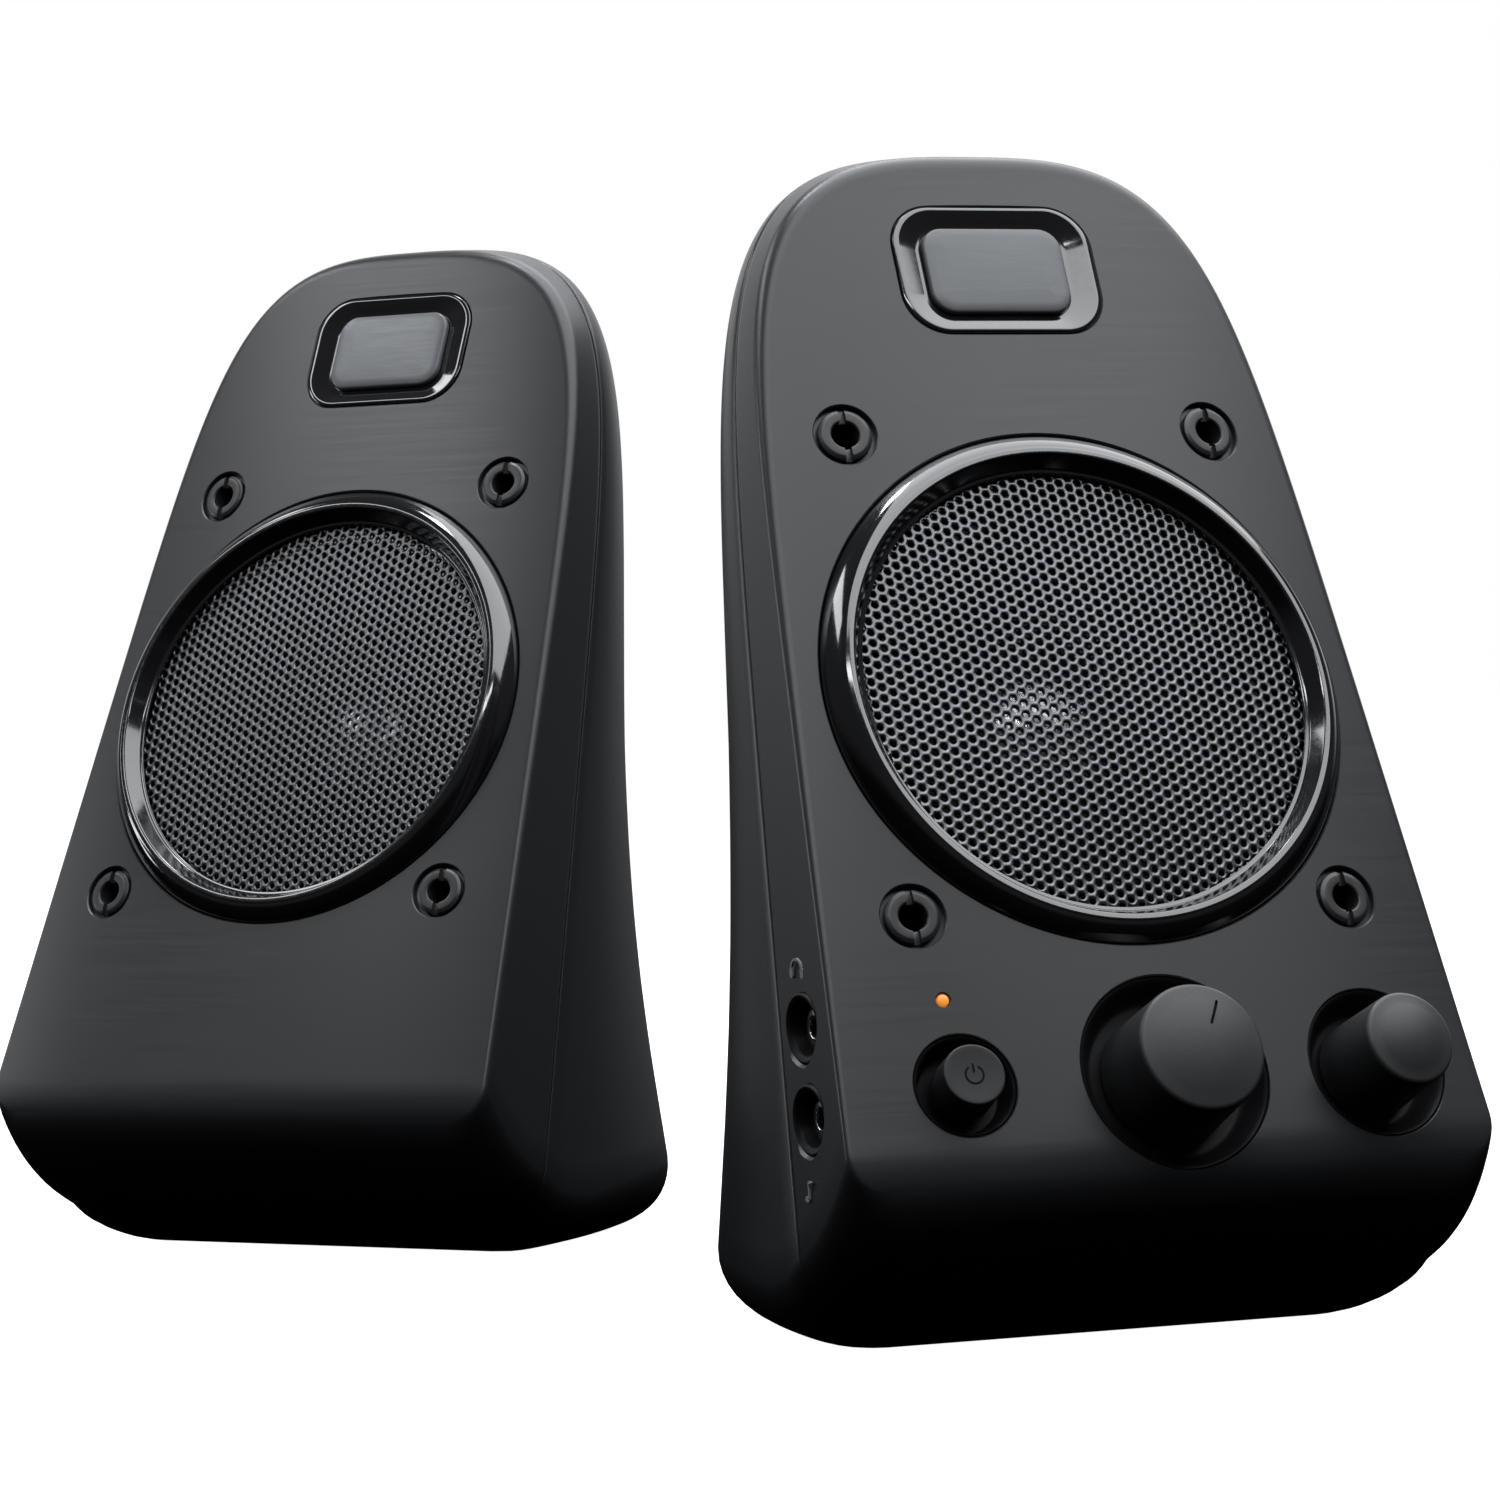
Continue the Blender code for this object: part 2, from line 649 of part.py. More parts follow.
def build_trim(side, face, body):
    """Trim ring, perforated grille, badge, foot and gland."""
    seat = -GRILLE_RECESS - GRILLE_SHEET - FIT
    ring = [
        (RING_THROAT, -GRILLE_RECESS),
        (RING_LIP, RING_LIP_PROUD),
        (RING_LIP + RING_CREST, RING_LIP_PROUD - RING_SHOULDER),
        (RING_OUTER, -RING_SHOULDER),
        (RING_OUTER, -RING_DEPTH),
        (RING_SEAT, -RING_DEPTH),
        (RING_SEAT, seat),
        (RING_THROAT, seat),
    ]
    turned(side + "_trim_ring", ring, RING_STEPS, face, GLOSS)

    edge = RING_THROAT - FIT
    top = -GRILLE_RECESS
    sheet = [(0.0, top), (edge, top), (edge, top - GRILLE_SHEET), (0.0, top - GRILLE_SHEET)]
    grille = turned(side + "_grille", sheet, RING_STEPS, face, MESH_METAL)
    bm = bmesh.new()
    reach = edge - GRILLE_RIM - 0.5 * GRILLE_HOLE
    rings = int(reach / (GRILLE_PITCH * 0.5 * math.sqrt(3.0))) + 1
    for row in range(-rings, rings + 1):
        v = row * GRILLE_PITCH * 0.5 * math.sqrt(3.0)
        for column in range(-rings - 1, rings + 2):
            u = (column + 0.5 * (row % 2)) * GRILLE_PITCH
            if math.hypot(u, v) <= reach:
                spot = Matrix.Translation((u, v, top - 0.5 * GRILLE_SHEET))
                hexagon = spot @ Matrix.Rotation(math.radians(30.0), 4, "Z")
                bmesh.ops.create_cone(
                    bm,
                    cap_ends=True,
                    segments=6,
                    radius1=0.5 * GRILLE_HOLE,
                    radius2=0.5 * GRILLE_HOLE,
                    depth=3.0 * GRILLE_SHEET,
                    matrix=hexagon,
                )
    holes = side + "_grille_holes"
    cut(grille, add(holes, from_bmesh(holes, bm), face, None))

    low = -BADGE_POCKET + FIT
    outer = rounded(BEZEL_WIDTH, BEZEL_HEIGHT, BEZEL_CORNER)
    bezel = slab(side + "_badge_bezel", outer, low, BEZEL_PROUD, face, GLOSS, (0.0, BADGE_V, 0.0))
    wide = BEZEL_WIDTH - 2.0 * BEZEL_SIDE
    tall = BEZEL_HEIGHT - 2.0 * BEZEL_EDGE
    inner = rounded(wide, tall, PLATE_CORNER)
    reach = 3.0 * (BADGE_POCKET + BEZEL_PROUD)
    window = slab(side + "_badge_window", inner, -reach, reach, face, None, (0.0, BADGE_V, 0.0))
    cut(bezel, window)
    plate = rounded(wide - 2.0 * FIT, tall - 2.0 * FIT, PLATE_CORNER - FIT)
    slab(side + "_badge_plate", plate, low, PLATE_PROUD, face, SATIN, (0.0, BADGE_V, 0.0))

    slab(side + "_foot", foot_outline(0.0), 0.0, FOOT_DROP + FOOT_POCKET - FIT, body, RUBBER)

    gland = [
        (GLAND_BORE, GLAND_FLANGE_THICK + GLAND_STAND),
        (GLAND_FLANGE - 0.8, GLAND_FLANGE_THICK + GLAND_STAND),
        (GLAND_FLANGE, GLAND_FLANGE_THICK + GLAND_STAND - 0.8),
        (GLAND_FLANGE, GLAND_STAND),
        (GLAND_RADIUS, GLAND_STAND),
        (GLAND_RADIUS, -GLAND_LENGTH),
        (GLAND_BORE, -GLAND_LENGTH),
    ]
    place = (0.0, spine_y(GLAND_Z), GLAND_Z)
    turned(side + "_cable_gland", gland, SMALL_STEPS, body, RUBBER, place, gland_turn())


def build_collars(side, face, front):
    """Four slotted collars in stepped holes, square to the crowned face."""
    spots = (
        ("upper_left", -1.0, COLLAR_TOP_STAND, COLLAR_TOP_ANGLE),
        ("upper_right", 1.0, COLLAR_TOP_STAND, COLLAR_TOP_ANGLE),
        ("lower_left", -1.0, COLLAR_LOW_STAND, COLLAR_LOW_ANGLE),
        ("lower_right", 1.0, COLLAR_LOW_STAND, COLLAR_LOW_ANGLE),
    )
    for name, hand, stand, angle in spots:
        u = hand * (RING_OUTER + stand) * math.cos(math.radians(angle))
        v = (RING_OUTER + stand) * math.sin(math.radians(angle))
        stem = side + "_" + name
        seat = empty(stem + "_spot", face, (u, v, face_drop(u, v)), (0.0, face_tilt(u, v), 0.0))
        wide = COLLAR_FLANGE + COLLAR_GROOVE
        slim = COLLAR_SHANK + FIT
        hole = [(0.0, TOOL_REACH), (wide, TOOL_REACH), (wide, -COLLAR_RECESS), (slim, -COLLAR_RECESS)]
        hole += [(slim, -3.0 * WALL), (0.0, -3.0 * WALL)]
        cut(front, turned(stem + "_hole", hole, SMALL_STEPS, seat, None))
        low = -COLLAR_RECESS + FIT
        top = low + COLLAR_FLANGE_THICK
        profile = [
            (COLLAR_BORE, top),
            (COLLAR_FLANGE, top),
            (COLLAR_FLANGE, low),
            (COLLAR_SHANK, low),
            (COLLAR_SHANK, low - COLLAR_LENGTH),
            (COLLAR_BORE, low - COLLAR_LENGTH),
        ]
        collar = turned(stem + "_collar", profile, SMALL_STEPS, seat, SATIN)
        slit = rounded(COLLAR_SLIT, 3.0 * COLLAR_FLANGE, 0.1, 1)
        floor = top - COLLAR_SLIT_DEPTH
        cut(collar, slab(stem + "_slit", slit, floor, top + 2.0, seat, None))


def build_driver(side, face):
    """The loudspeaker, from its basket rim back to its yoke."""
    rim = -RING_DEPTH - FIT
    step = rim - SURROUND_DROP
    shelf = rim - BASKET_BACK
    lip = SURROUND_EDGE
    cup = shelf + BASKET_CUP
    neck = COIL_RADIUS + COIL_SHEET + FIT
    bore = COIL_RADIUS + COIL_SHEET + SHELF_BORE
    basket = [
        (lip + FIT, rim),
        (BASKET_RIM, rim),
        (BASKET_RIM, rim - BASKET_RIM_THICK),
        (lip, step - BASKET_SHEET),
        (BASKET_SHELF + BASKET_SHEET, cup),
        (BASKET_SHELF + BASKET_SHEET, shelf - BASKET_SHEET),
        (bore, shelf - BASKET_SHEET),
        (bore, shelf),
        (BASKET_SHELF, shelf),
        (BASKET_SHELF, cup),
        (lip - ROLL_FLANGE, step),
        (lip + FIT, step),
    ]
    frame = turned(side + "_basket", basket, DRIVER_STEPS, face, STEEL)
    for k in range(2):
        name = side + "_basket_window_" + str(k + 1)
        sides = rounded(BASKET_WINDOW, 4.0 * BASKET_RIM, 0.1 * BASKET_WINDOW, 1)
        turn = (0.0, 0.0, math.radians(45.0 + 90.0 * k))
        low = shelf + 2.0 * BASKET_CUP
        high = step - 2.0 * BASKET_SHEET
        cut(frame, slab(name, sides, low, high, face, None, (0.0, 0.0, 0.0), turn))

    sheet = SURROUND_SHEET
    low = step + FIT
    inner = CONE_RADIUS - CONE_GLUE
    middle = CONE_RADIUS + ROLL_START + 0.5 * ROLL_WIDTH
    wide = 0.5 * (ROLL_WIDTH + sheet)
    slim = 0.5 * (ROLL_WIDTH - sheet)
    arc = np.linspace(math.pi, 0.0, 5)
    upper = [(middle + wide * math.cos(a), low + sheet + SURROUND_ROLL * math.sin(a)) for a in arc]
    lower = [(middle + slim * math.cos(a), low + SURROUND_ROLL * math.sin(a)) for a in arc[::-1]]
    surround = [(inner, low + sheet)] + upper + [(lip, low + sheet), (lip, low)] + lower + [(inner, low)]
    turned(side + "_surround", surround, DRIVER_STEPS, face, RUBBER)

    edge = low - FIT
    deep = edge - CONE_DEPTH
    mid_r = 0.5 * (neck + CONE_RADIUS) - CONE_SAG
    mid_w = 0.5 * (edge + deep) - CONE_SAG
    cone = [
        (neck, deep),
        (mid_r, mid_w),
        (CONE_RADIUS - CONE_GLUE - 0.5 * CONE_SHEET, edge),
        (CONE_RADIUS, edge),
        (CONE_RADIUS, edge - CONE_SHEET),
        (CONE_RADIUS - CONE_GLUE, edge - CONE_SHEET),
        (mid_r + 0.75 * CONE_SHEET, mid_w - CONE_SHEET),
        (neck, deep - 1.5 * CONE_SHEET),
    ]
    turned(side + "_cone", cone, DRIVER_STEPS, face, PAPER)

    share = (DUST_CAP_RADIUS - neck) / (mid_r - neck)
    seat = deep + share * (mid_w - deep) + 2.0 * FIT
    arc = np.linspace(0.5 * math.pi, 0.0, 3)
    outer = [(DUST_CAP_RADIUS * math.cos(a), seat + DUST_CAP_RISE * math.sin(a)) for a in arc]
    thin = DUST_CAP_RADIUS - CONE_SHEET
    inside = [(thin * math.cos(a), seat + (DUST_CAP_RISE - CONE_SHEET) * math.sin(a)) for a in arc[::-1]]
    outer[0] = (0.0, seat + DUST_CAP_RISE)
    inside[-1] = (0.0, seat + DUST_CAP_RISE - CONE_SHEET)
    turned(side + "_dust_cap", outer + inside, DRIVER_STEPS, face, ALLOY)

    base = shelf + FIT
    wave = [0.0, 1.0, 0.0, 1.0, 0.0]
    radii = np.linspace(neck, BASKET_SHELF - FIT, len(wave))
    upper = [(r, base + SPIDER_SHEET + SPIDER_WAVE * h) for r, h in zip(radii, wave)]
    lower = [(r, base + SPIDER_WAVE * h) for r, h in zip(radii, wave)]
    turned(side + "_spider", upper + lower[::-1], DRIVER_STEPS, face, CLOTH)

    top = shelf - BASKET_SHEET - FIT
    hole = COIL_RADIUS + COIL_SHEET + COIL_GAP
    plate = top - MAGNET_THICK - FIT
    magnet = [(hole, top), (MAGNET_RADIUS, top), (MAGNET_RADIUS, plate + FIT), (hole, plate + FIT)]
    turned(side + "_magnet", magnet, DRIVER_STEPS, face, FERRITE)
    pole = COIL_RADIUS - COIL_GAP
    yoke = [(0.0, top), (pole, top), (pole, plate), (MAGNET_RADIUS, plate)]
    yoke += [(MAGNET_RADIUS - YOKE_CHAMFER, plate - YOKE_THICK), (0.0, plate - YOKE_THICK)]
    turned(side + "_yoke", yoke, DRIVER_STEPS, face, STEEL)

    high = deep + COIL_STAND
    low = plate + CONE_STROKE + COIL_CLEAR
    coil = [(COIL_RADIUS, high), (COIL_RADIUS + COIL_SHEET, high)]
    coil += [(COIL_RADIUS + COIL_SHEET, low), (COIL_RADIUS, low)]
    turned(side + "_voice_coil", coil, DRIVER_STEPS, face, COPPER)


# Pieces of the control satellite


def control_frame(name, u, v, face):
    """A frame square to the face at one control."""
    return empty(name, face, (u, v, face_drop(u, v)), (0.0, face_tilt(u, v), 0.0))


def build_dish(name, radius, hole, frame, front):
    """A dished escutcheon in a round opening of the front shell."""
    reach = DISH_DEPTH + 3.0 * WALL
    opening = [(0.0, reach), (radius + FIT, reach), (radius + FIT, -reach), (0.0, -reach)]
    cut(front, turned(name + "_opening", opening, KNOB_STEPS, frame, None))
    floor = -DISH_SINK - DISH_DEPTH
    inner = radius - DISH_SHEET
    profile = [
        (inner, -DISH_SINK),
        (radius, -DISH_SINK),
        (radius, floor - DISH_SHEET),
        (hole, floor - DISH_SHEET),
        (hole, floor),
        (inner - 1.5, floor),
    ]
    turned(name, profile, KNOB_STEPS, frame, GLOSS)
    return floor


def build_knob(name, radius, rise, dish, pot, front, frame):
    """A knob with its dish, its shaft and the pot on the board."""
    hole = POT_BUSH + SLIDE_FIT
    floor = build_dish(name + "_dish", dish, hole, frame, front)
    low = floor + SLIDE_FIT
    profile = [
        (0.0, rise),
        (radius - KNOB_TAPER - KNOB_EDGE, rise - 0.3 * KNOB_CROWN),
        (radius - KNOB_TAPER - 0.3 * KNOB_EDGE, rise - 0.3 * KNOB_CROWN - 0.35 * KNOB_EDGE),
        (radius - KNOB_TAPER, rise - 0.3 * KNOB_CROWN - KNOB_EDGE),
        (radius, low),
        (SHAFT_RADIUS + FIT, low),
        (SHAFT_RADIUS + FIT, low + KNOB_SOCKET),
        (0.0, low + KNOB_SOCKET),
    ]
    knob = turned(name + "_knob", profile, KNOB_STEPS, frame, CHARCOAL)
    bush = floor - 0.2
    body_top = bush - POT_BUSH_RISE
    bottom = -BOARD_DEPTH - face_drop(*frame["spot"]) + pot * abs(math.tan(frame["tilt"])) + 2.0 * FIT
    shaft_low = body_top - 1.5
    shaft = [
        (0.0, low + KNOB_SOCKET - FIT),
        (SHAFT_RADIUS, low + KNOB_SOCKET - FIT),
        (SHAFT_RADIUS, shaft_low),
        (0.0, shaft_low),
    ]
    turned(name + "_shaft", shaft, SMALL_STEPS, frame, STEEL)
    body = [
        (SHAFT_RADIUS + FIT, bush),
        (POT_BUSH, bush),
        (POT_BUSH, body_top),
        (pot, body_top),
        (pot, bottom),
        (0.0, bottom),
        (0.0, shaft_low - FIT),
        (SHAFT_RADIUS + FIT, shaft_low - FIT),
    ]
    ring = body[6:] + body[:6]
    turned(name + "_pot", ring, SMALL_STEPS, frame, STEEL)
    return knob


def build_controls(body, face, front):
    """Board, knobs, power button, indicator and side jacks."""
    frames = {}
    for name, u in (("power", POWER_U), ("volume", VOLUME_U), ("bass", BASS_U)):
        frame = control_frame(name + "_axis", u, CONTROL_V, face)
        frame["spot"] = (u, CONTROL_V)
        frame["tilt"] = face_tilt(u, CONTROL_V)
        frames[name] = frame

    frame = frames["volume"]
    knob = build_knob("volume", VOLUME_KNOB, VOLUME_RISE, VOLUME_DISH, VOLUME_POT, front, frame)
    far = VOLUME_KNOB - KNOB_TAPER - KNOB_EDGE - 0.6
    line = rounded(POINTER_WIDTH, POINTER_LENGTH, 0.2, 1, (0.0, far - 0.5 * POINTER_LENGTH))
    turn = (0.0, 0.0, math.radians(POINTER_ANGLE))
    low = VOLUME_RISE - POINTER_DEPTH
    cut(knob, slab("volume_pointer", line, low, low + TOOL_REACH, frame, None, (0.0, 0.0, 0.0), turn))
    build_knob("bass", BASS_KNOB, BASS_RISE, BASS_DISH, BASS_POT, front, frames["bass"])

    frame = frames["power"]
    floor = build_dish("power_dish", POWER_DISH, POWER_STEM + SLIDE_FIT, frame, front)
    low = floor + POWER_STROKE + SLIDE_FIT
    stem_low = floor - DISH_SHEET - 1.0
    button = [
        (0.0, POWER_RISE),
        (POWER_CAP - 0.9, POWER_RISE - 0.1),
        (POWER_CAP, POWER_RISE - 1.0),
        (POWER_CAP, low),
        (POWER_STEM, low),
        (POWER_STEM, stem_low),
        (0.0, stem_low),
    ]
    turned("power_button", button, KNOB_STEPS, frame, CHARCOAL)
    top = stem_low - POWER_STROKE - FIT
    bottom = -BOARD_DEPTH - face_drop(*frame["spot"]) + SWITCH_SIDE * abs(math.tan(frame["tilt"])) + FIT
    square = rounded(SWITCH_SIDE, SWITCH_SIDE, 0.6, 1)
    slab("power_switch", square, bottom, top, frame, GLOSS)

    sheet = rounded(BOARD_WIDTH, BOARD_TALL, 3.0, 2, (0.0, CONTROL_V + 1.0))
    slab("control_board", sheet, -BOARD_DEPTH - BOARD_THICK, -BOARD_DEPTH, face, BOARD)

    spot = empty("indicator_spot", face, (LED_U, LED_V, face_drop(LED_U, LED_V)))
    drop = face_drop(LED_U, LED_V)
    wide = LED_RADIUS + FIT
    hole = [(0.0, TOOL_REACH), (wide, TOOL_REACH), (wide, -3.0 * WALL), (0.0, -3.0 * WALL)]
    cut(front, turned("indicator_hole", hole, SMALL_STEPS, spot, None))
    pipe = [(0.0, 0.1), (0.6 * LED_RADIUS, 0.0), (LED_RADIUS, -0.3)]
    pipe += [(LED_RADIUS, -BOARD_DEPTH - drop + FIT), (0.0, -BOARD_DEPTH - drop + FIT)]
    turned("indicator_lens", pipe, SMALL_STEPS, spot, AMBER)

    for k, name in enumerate(("headphone_jack", "line_in_jack")):
        z = JACK_Z + k * JACK_STEP_Z
        y = face_y(z) + JACK_SETBACK + k * JACK_STEP_SETBACK
        x = wall_x(y, z) - JACK_SINK
        turn = (0.0, math.radians(-90.0 + JACK_TIP), math.radians(JACK_TURN))
        spot = empty(name + "_spot", body, (-x, y, z), turn)
        reach = 4.0 * WALL
        hole = [(0.0, reach), (JACK_RADIUS + FIT, reach), (JACK_RADIUS + FIT, -reach), (0.0, -reach)]
        cut(front, turned(name + "_hole", hole, SMALL_STEPS + 4, spot, None))
        jack = [
            (JACK_CUP, -0.4),
            (JACK_RADIUS - 0.3, 0.0),
            (JACK_RADIUS, -0.3),
            (JACK_RADIUS, -JACK_LENGTH),
            (JACK_BORE, -JACK_LENGTH),
            (JACK_BORE, -JACK_CUP_DEPTH),
            (JACK_CUP - 0.5, -JACK_CUP_DEPTH),
        ]
        turned(name, jack, SMALL_STEPS + 4, spot, GLOSS)


def wall_x(y, z):
    """The side wall's outer half width at a place on the front shell."""
    edge_y = face_y(z) + FACE_CROWN / math.cos(LEAN)
    g = float(np.clip((y - edge_y) / (seam_y(z) - edge_y), 0.0, 1.0))
    return float(half_width(height_share(z))) + SIDE_FLARE * g


# Assembly


def build_satellite(side, x, y, toe):
    """One satellite with everything that both of them have."""
    body = empty(side + "_satellite", None, (x, y, 0.0), (0.0, 0.0, math.radians(toe)))
    face = empty(side + "_face", body, (0.0, 0.0, DRIVER_HEIGHT), (FACE_TURN, 0.0, 0.0))
    front, rear = build_shells(side, body, face)
    build_trim(side, face, body)
    build_collars(side, face, front)
    build_driver(side, face)
    return body, face, front


build_satellite("left", LEFT_X, LEFT_Y, LEFT_TOE)
right_body, right_face, right_front = build_satellite("right", RIGHT_X, RIGHT_Y, RIGHT_TOE)
build_controls(right_body, right_face, right_front)
bpy.context.view_layer.update()
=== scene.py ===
# %% [markdown]
# A pair of desktop speakers in a small studio.
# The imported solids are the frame: they fix every size, place and motion.
# This lesson dresses them, piece by piece, with smooth surfaces worked out in numpy
# and finishes made of shader nodes. Sizes are in millimetres until a mesh is written.

# %% Load the frame
from functools import partial
from math import atan, cos, hypot, pi, radians, sin, sqrt, tan

import bmesh
import bpy
import numpy as np
from mathutils import Matrix


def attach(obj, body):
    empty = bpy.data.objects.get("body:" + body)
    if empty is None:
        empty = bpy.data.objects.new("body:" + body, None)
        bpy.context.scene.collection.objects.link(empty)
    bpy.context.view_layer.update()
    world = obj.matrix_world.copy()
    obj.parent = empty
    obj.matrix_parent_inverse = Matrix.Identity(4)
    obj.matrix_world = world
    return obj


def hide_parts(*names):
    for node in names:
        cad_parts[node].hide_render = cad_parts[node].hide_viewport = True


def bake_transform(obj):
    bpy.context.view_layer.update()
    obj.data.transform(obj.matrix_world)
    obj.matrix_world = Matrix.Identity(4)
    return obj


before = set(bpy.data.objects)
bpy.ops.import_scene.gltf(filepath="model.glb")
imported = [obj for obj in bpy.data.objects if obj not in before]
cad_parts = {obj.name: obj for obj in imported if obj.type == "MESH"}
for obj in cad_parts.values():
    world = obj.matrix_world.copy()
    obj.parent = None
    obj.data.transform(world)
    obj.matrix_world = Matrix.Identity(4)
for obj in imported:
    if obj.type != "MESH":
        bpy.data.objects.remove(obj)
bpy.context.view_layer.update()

# %% [markdown]
# Each satellite has its own frame: x to its right, y to its back, z up from the desk.
# The front has a second one that leans back: u across, v up the face, w out of it.
# Both frames are plain turns, so a few lines of numpy take any grid of points from one
# to the other. Most sizes repeat the source of the solids, so that the pieces fit them.

# %% Sizes of the cabinet
MM = 0.001
BODY_HEIGHT = 195.75
DRIVER_HEIGHT = 106.0
LEAN = radians(24.2)
SIN_LEAN = sin(LEAN)
COS_LEAN = cos(LEAN)
LIP_HEIGHT = 29.0
LIP_HALF_WIDTH = 56.6
SIDE_TAPER = 0.078
FACE_CROWN = 3.4
FACE_CROWN_POWER = 2.5
SATELLITES = {"left": (-69.922, 66.479, -29.8), "right": (69.878, -101.184, 21.6)}


def turned(points, angle):
    """Points turned about z: x and y are mixed by the cosine and sine of the angle."""
    c, s = cos(angle), sin(angle)
    return points @ np.array([[c, s, 0.0], [-s, c, 0.0], [0.0, 0.0, 1.0]])


def stand(side, points):
    """A satellite's own points turned by its toe angle and moved to where it stands."""
    x, y, toe = SATELLITES[side]
    return turned(points, radians(toe)) + np.array([x, y, 0.0])


def climb(z):
    """The share of the way from the lip to the top at a height."""
    return np.clip((z - LIP_HEIGHT) / (BODY_HEIGHT - LIP_HEIGHT), 0.0, 1.0)


def straight_half(z):
    """Half the width between the sides at a height: a straight taper from the lip up."""
    return LIP_HALF_WIDTH - SIDE_TAPER * climb(z) * (BODY_HEIGHT - LIP_HEIGHT)


def bow(u, half):
    """The face's fall: a size times the 2.5th power of the share of the way to the side."""
    return FACE_CROWN * np.clip(np.abs(u) / half, 0.0, 1.0) ** FACE_CROWN_POWER


def face_w(u, v):
    """The bowed face's w at a place (u, v)."""
    return -bow(u, straight_half(DRIVER_HEIGHT + v * COS_LEAN))


def on_face(points):
    """Face coordinates (u, v, w) to the satellite's own (x, y, z)."""
    u, v, w = np.moveaxis(points, -1, 0)
    y = v * SIN_LEAN - w * COS_LEAN
    z = DRIVER_HEIGHT + v * COS_LEAN + w * SIN_LEAN
    return np.stack([u, y, z], axis=-1)


def to_face(points):
    """The satellite's own (x, y, z) back to face coordinates u, v and w."""
    x, y, z = np.moveaxis(points, -1, 0)
    up = z - DRIVER_HEIGHT
    return x, y * SIN_LEAN + up * COS_LEAN, up * SIN_LEAN - y * COS_LEAN


def at_spot(u, v, points):
    """Points drawn flat at the origin, set square on the bowed face at a place (u, v)."""
    tilt = atan(float(face_w(u - 0.5, v) - face_w(u + 0.5, v)))
    a, b, h = np.moveaxis(points, -1, 0)
    across = u + a * cos(tilt) + h * sin(tilt)
    out = float(face_w(u, v)) - a * sin(tilt) + h * cos(tilt)
    return on_face(np.stack([across, v + b, out], axis=-1))


def bowed(points, v=0.0):
    """Points drawn on a flat face at a height v, pressed onto the bow."""
    u, up, h = np.moveaxis(points, -1, 0)
    return on_face(np.stack([u, up + v, h + face_w(u, up + v)], axis=-1))


print("face bows back by", FACE_CROWN, "mm at its sides")

# %% [markdown]
# Every piece is a grid of points, or a few of them. A lathe turns a profile about an axis,
# a border carries a profile round a rectangle with soft corners, and a fan ring stops at
# two straight cuts. Bevels and fillets could come from modifiers, but a profile with its
# corners already softened gives even, predictable rows.

# %% Grids and profiles
CORNER_SHARE = 0.45


def grid_faces(rows, columns, wrap=True):
    """The quads of a grid, row by row, joined round when it wraps."""
    i = np.arange(rows - 1)[:, None]
    j = np.arange(columns if wrap else columns - 1)[None, :]
    a = i * columns + j
    b = i * columns + (j + 1) % columns
    return np.stack([a, b, b + columns, a + columns], axis=-1).reshape(-1, 4)


def bezier(a, b, c, t):
    """A quadratic Bezier: weights (1 - t) squared, 2 t (1 - t) and t squared."""
    return (1.0 - t) ** 2 * a + 2.0 * t * (1.0 - t) * b + t**2 * c


def soften(corners, radius, steps=4, closed=False):
    """A polyline whose corners are quadratic Bezier curves, cut back by a radius."""
    p = np.asarray(corners, float)
    before = np.roll(p, 1, axis=0) - p
    after = np.roll(p, -1, axis=0) - p
    near = np.linalg.norm(before, axis=1)
    far = np.linalg.norm(after, axis=1)
    reach = np.minimum(np.broadcast_to(radius, len(p)), CORNER_SHARE * np.minimum(near, far))
    if not closed:
        reach[[0, -1]] = 0.0
    start = p + before * (reach / near)[:, None]
    end = p + after * (reach / far)[:, None]
    t = np.linspace(0.0, 1.0, steps + 1)[None, :, None]
    line = bezier(start[:, None], p[:, None], end[:, None], t).reshape(-1, p.shape[1])
    return np.concatenate([line, line[:1]]) if closed else line


def polar(r, h, t):
    """Points (r cos t, r sin t, h) from radii, heights and angles that fit together."""
    r, h, t = np.broadcast_arrays(r, h, t)
    return np.stack([r * np.cos(t), r * np.sin(t), h], axis=-1)


def lathe(profile, steps=64):
    """A profile of (r, h) turned about h."""
    r, h = np.asarray(profile, float).T[..., None]
    t = np.linspace(0.0, 2.0 * pi, steps, endpoint=False)
    return polar(r, h, t).reshape(-1, 3), grid_faces(len(r), steps)


def fan_ring(profile, cut, turn=0.0, sweep=pi, steps=24):
    """A closed (r, h) profile swept round part of a circle, its ends cut by asin(cut / r)."""
    r, h = np.asarray(profile, float).T[..., None]
    back = np.arcsin(cut / r)
    points = polar(r, h, turn + back + (sweep - 2.0 * back) * np.linspace(0.0, 1.0, steps))
    middle = points[:-1].mean(axis=0, keepdims=True)
    first = np.repeat(middle[:, :1], len(r), axis=0)
    last = np.repeat(middle[:, -1:], len(r), axis=0)
    points = np.concatenate([first, points, last], axis=1)
    return points.reshape(-1, 3), grid_faces(len(r), steps + 2, wrap=False)


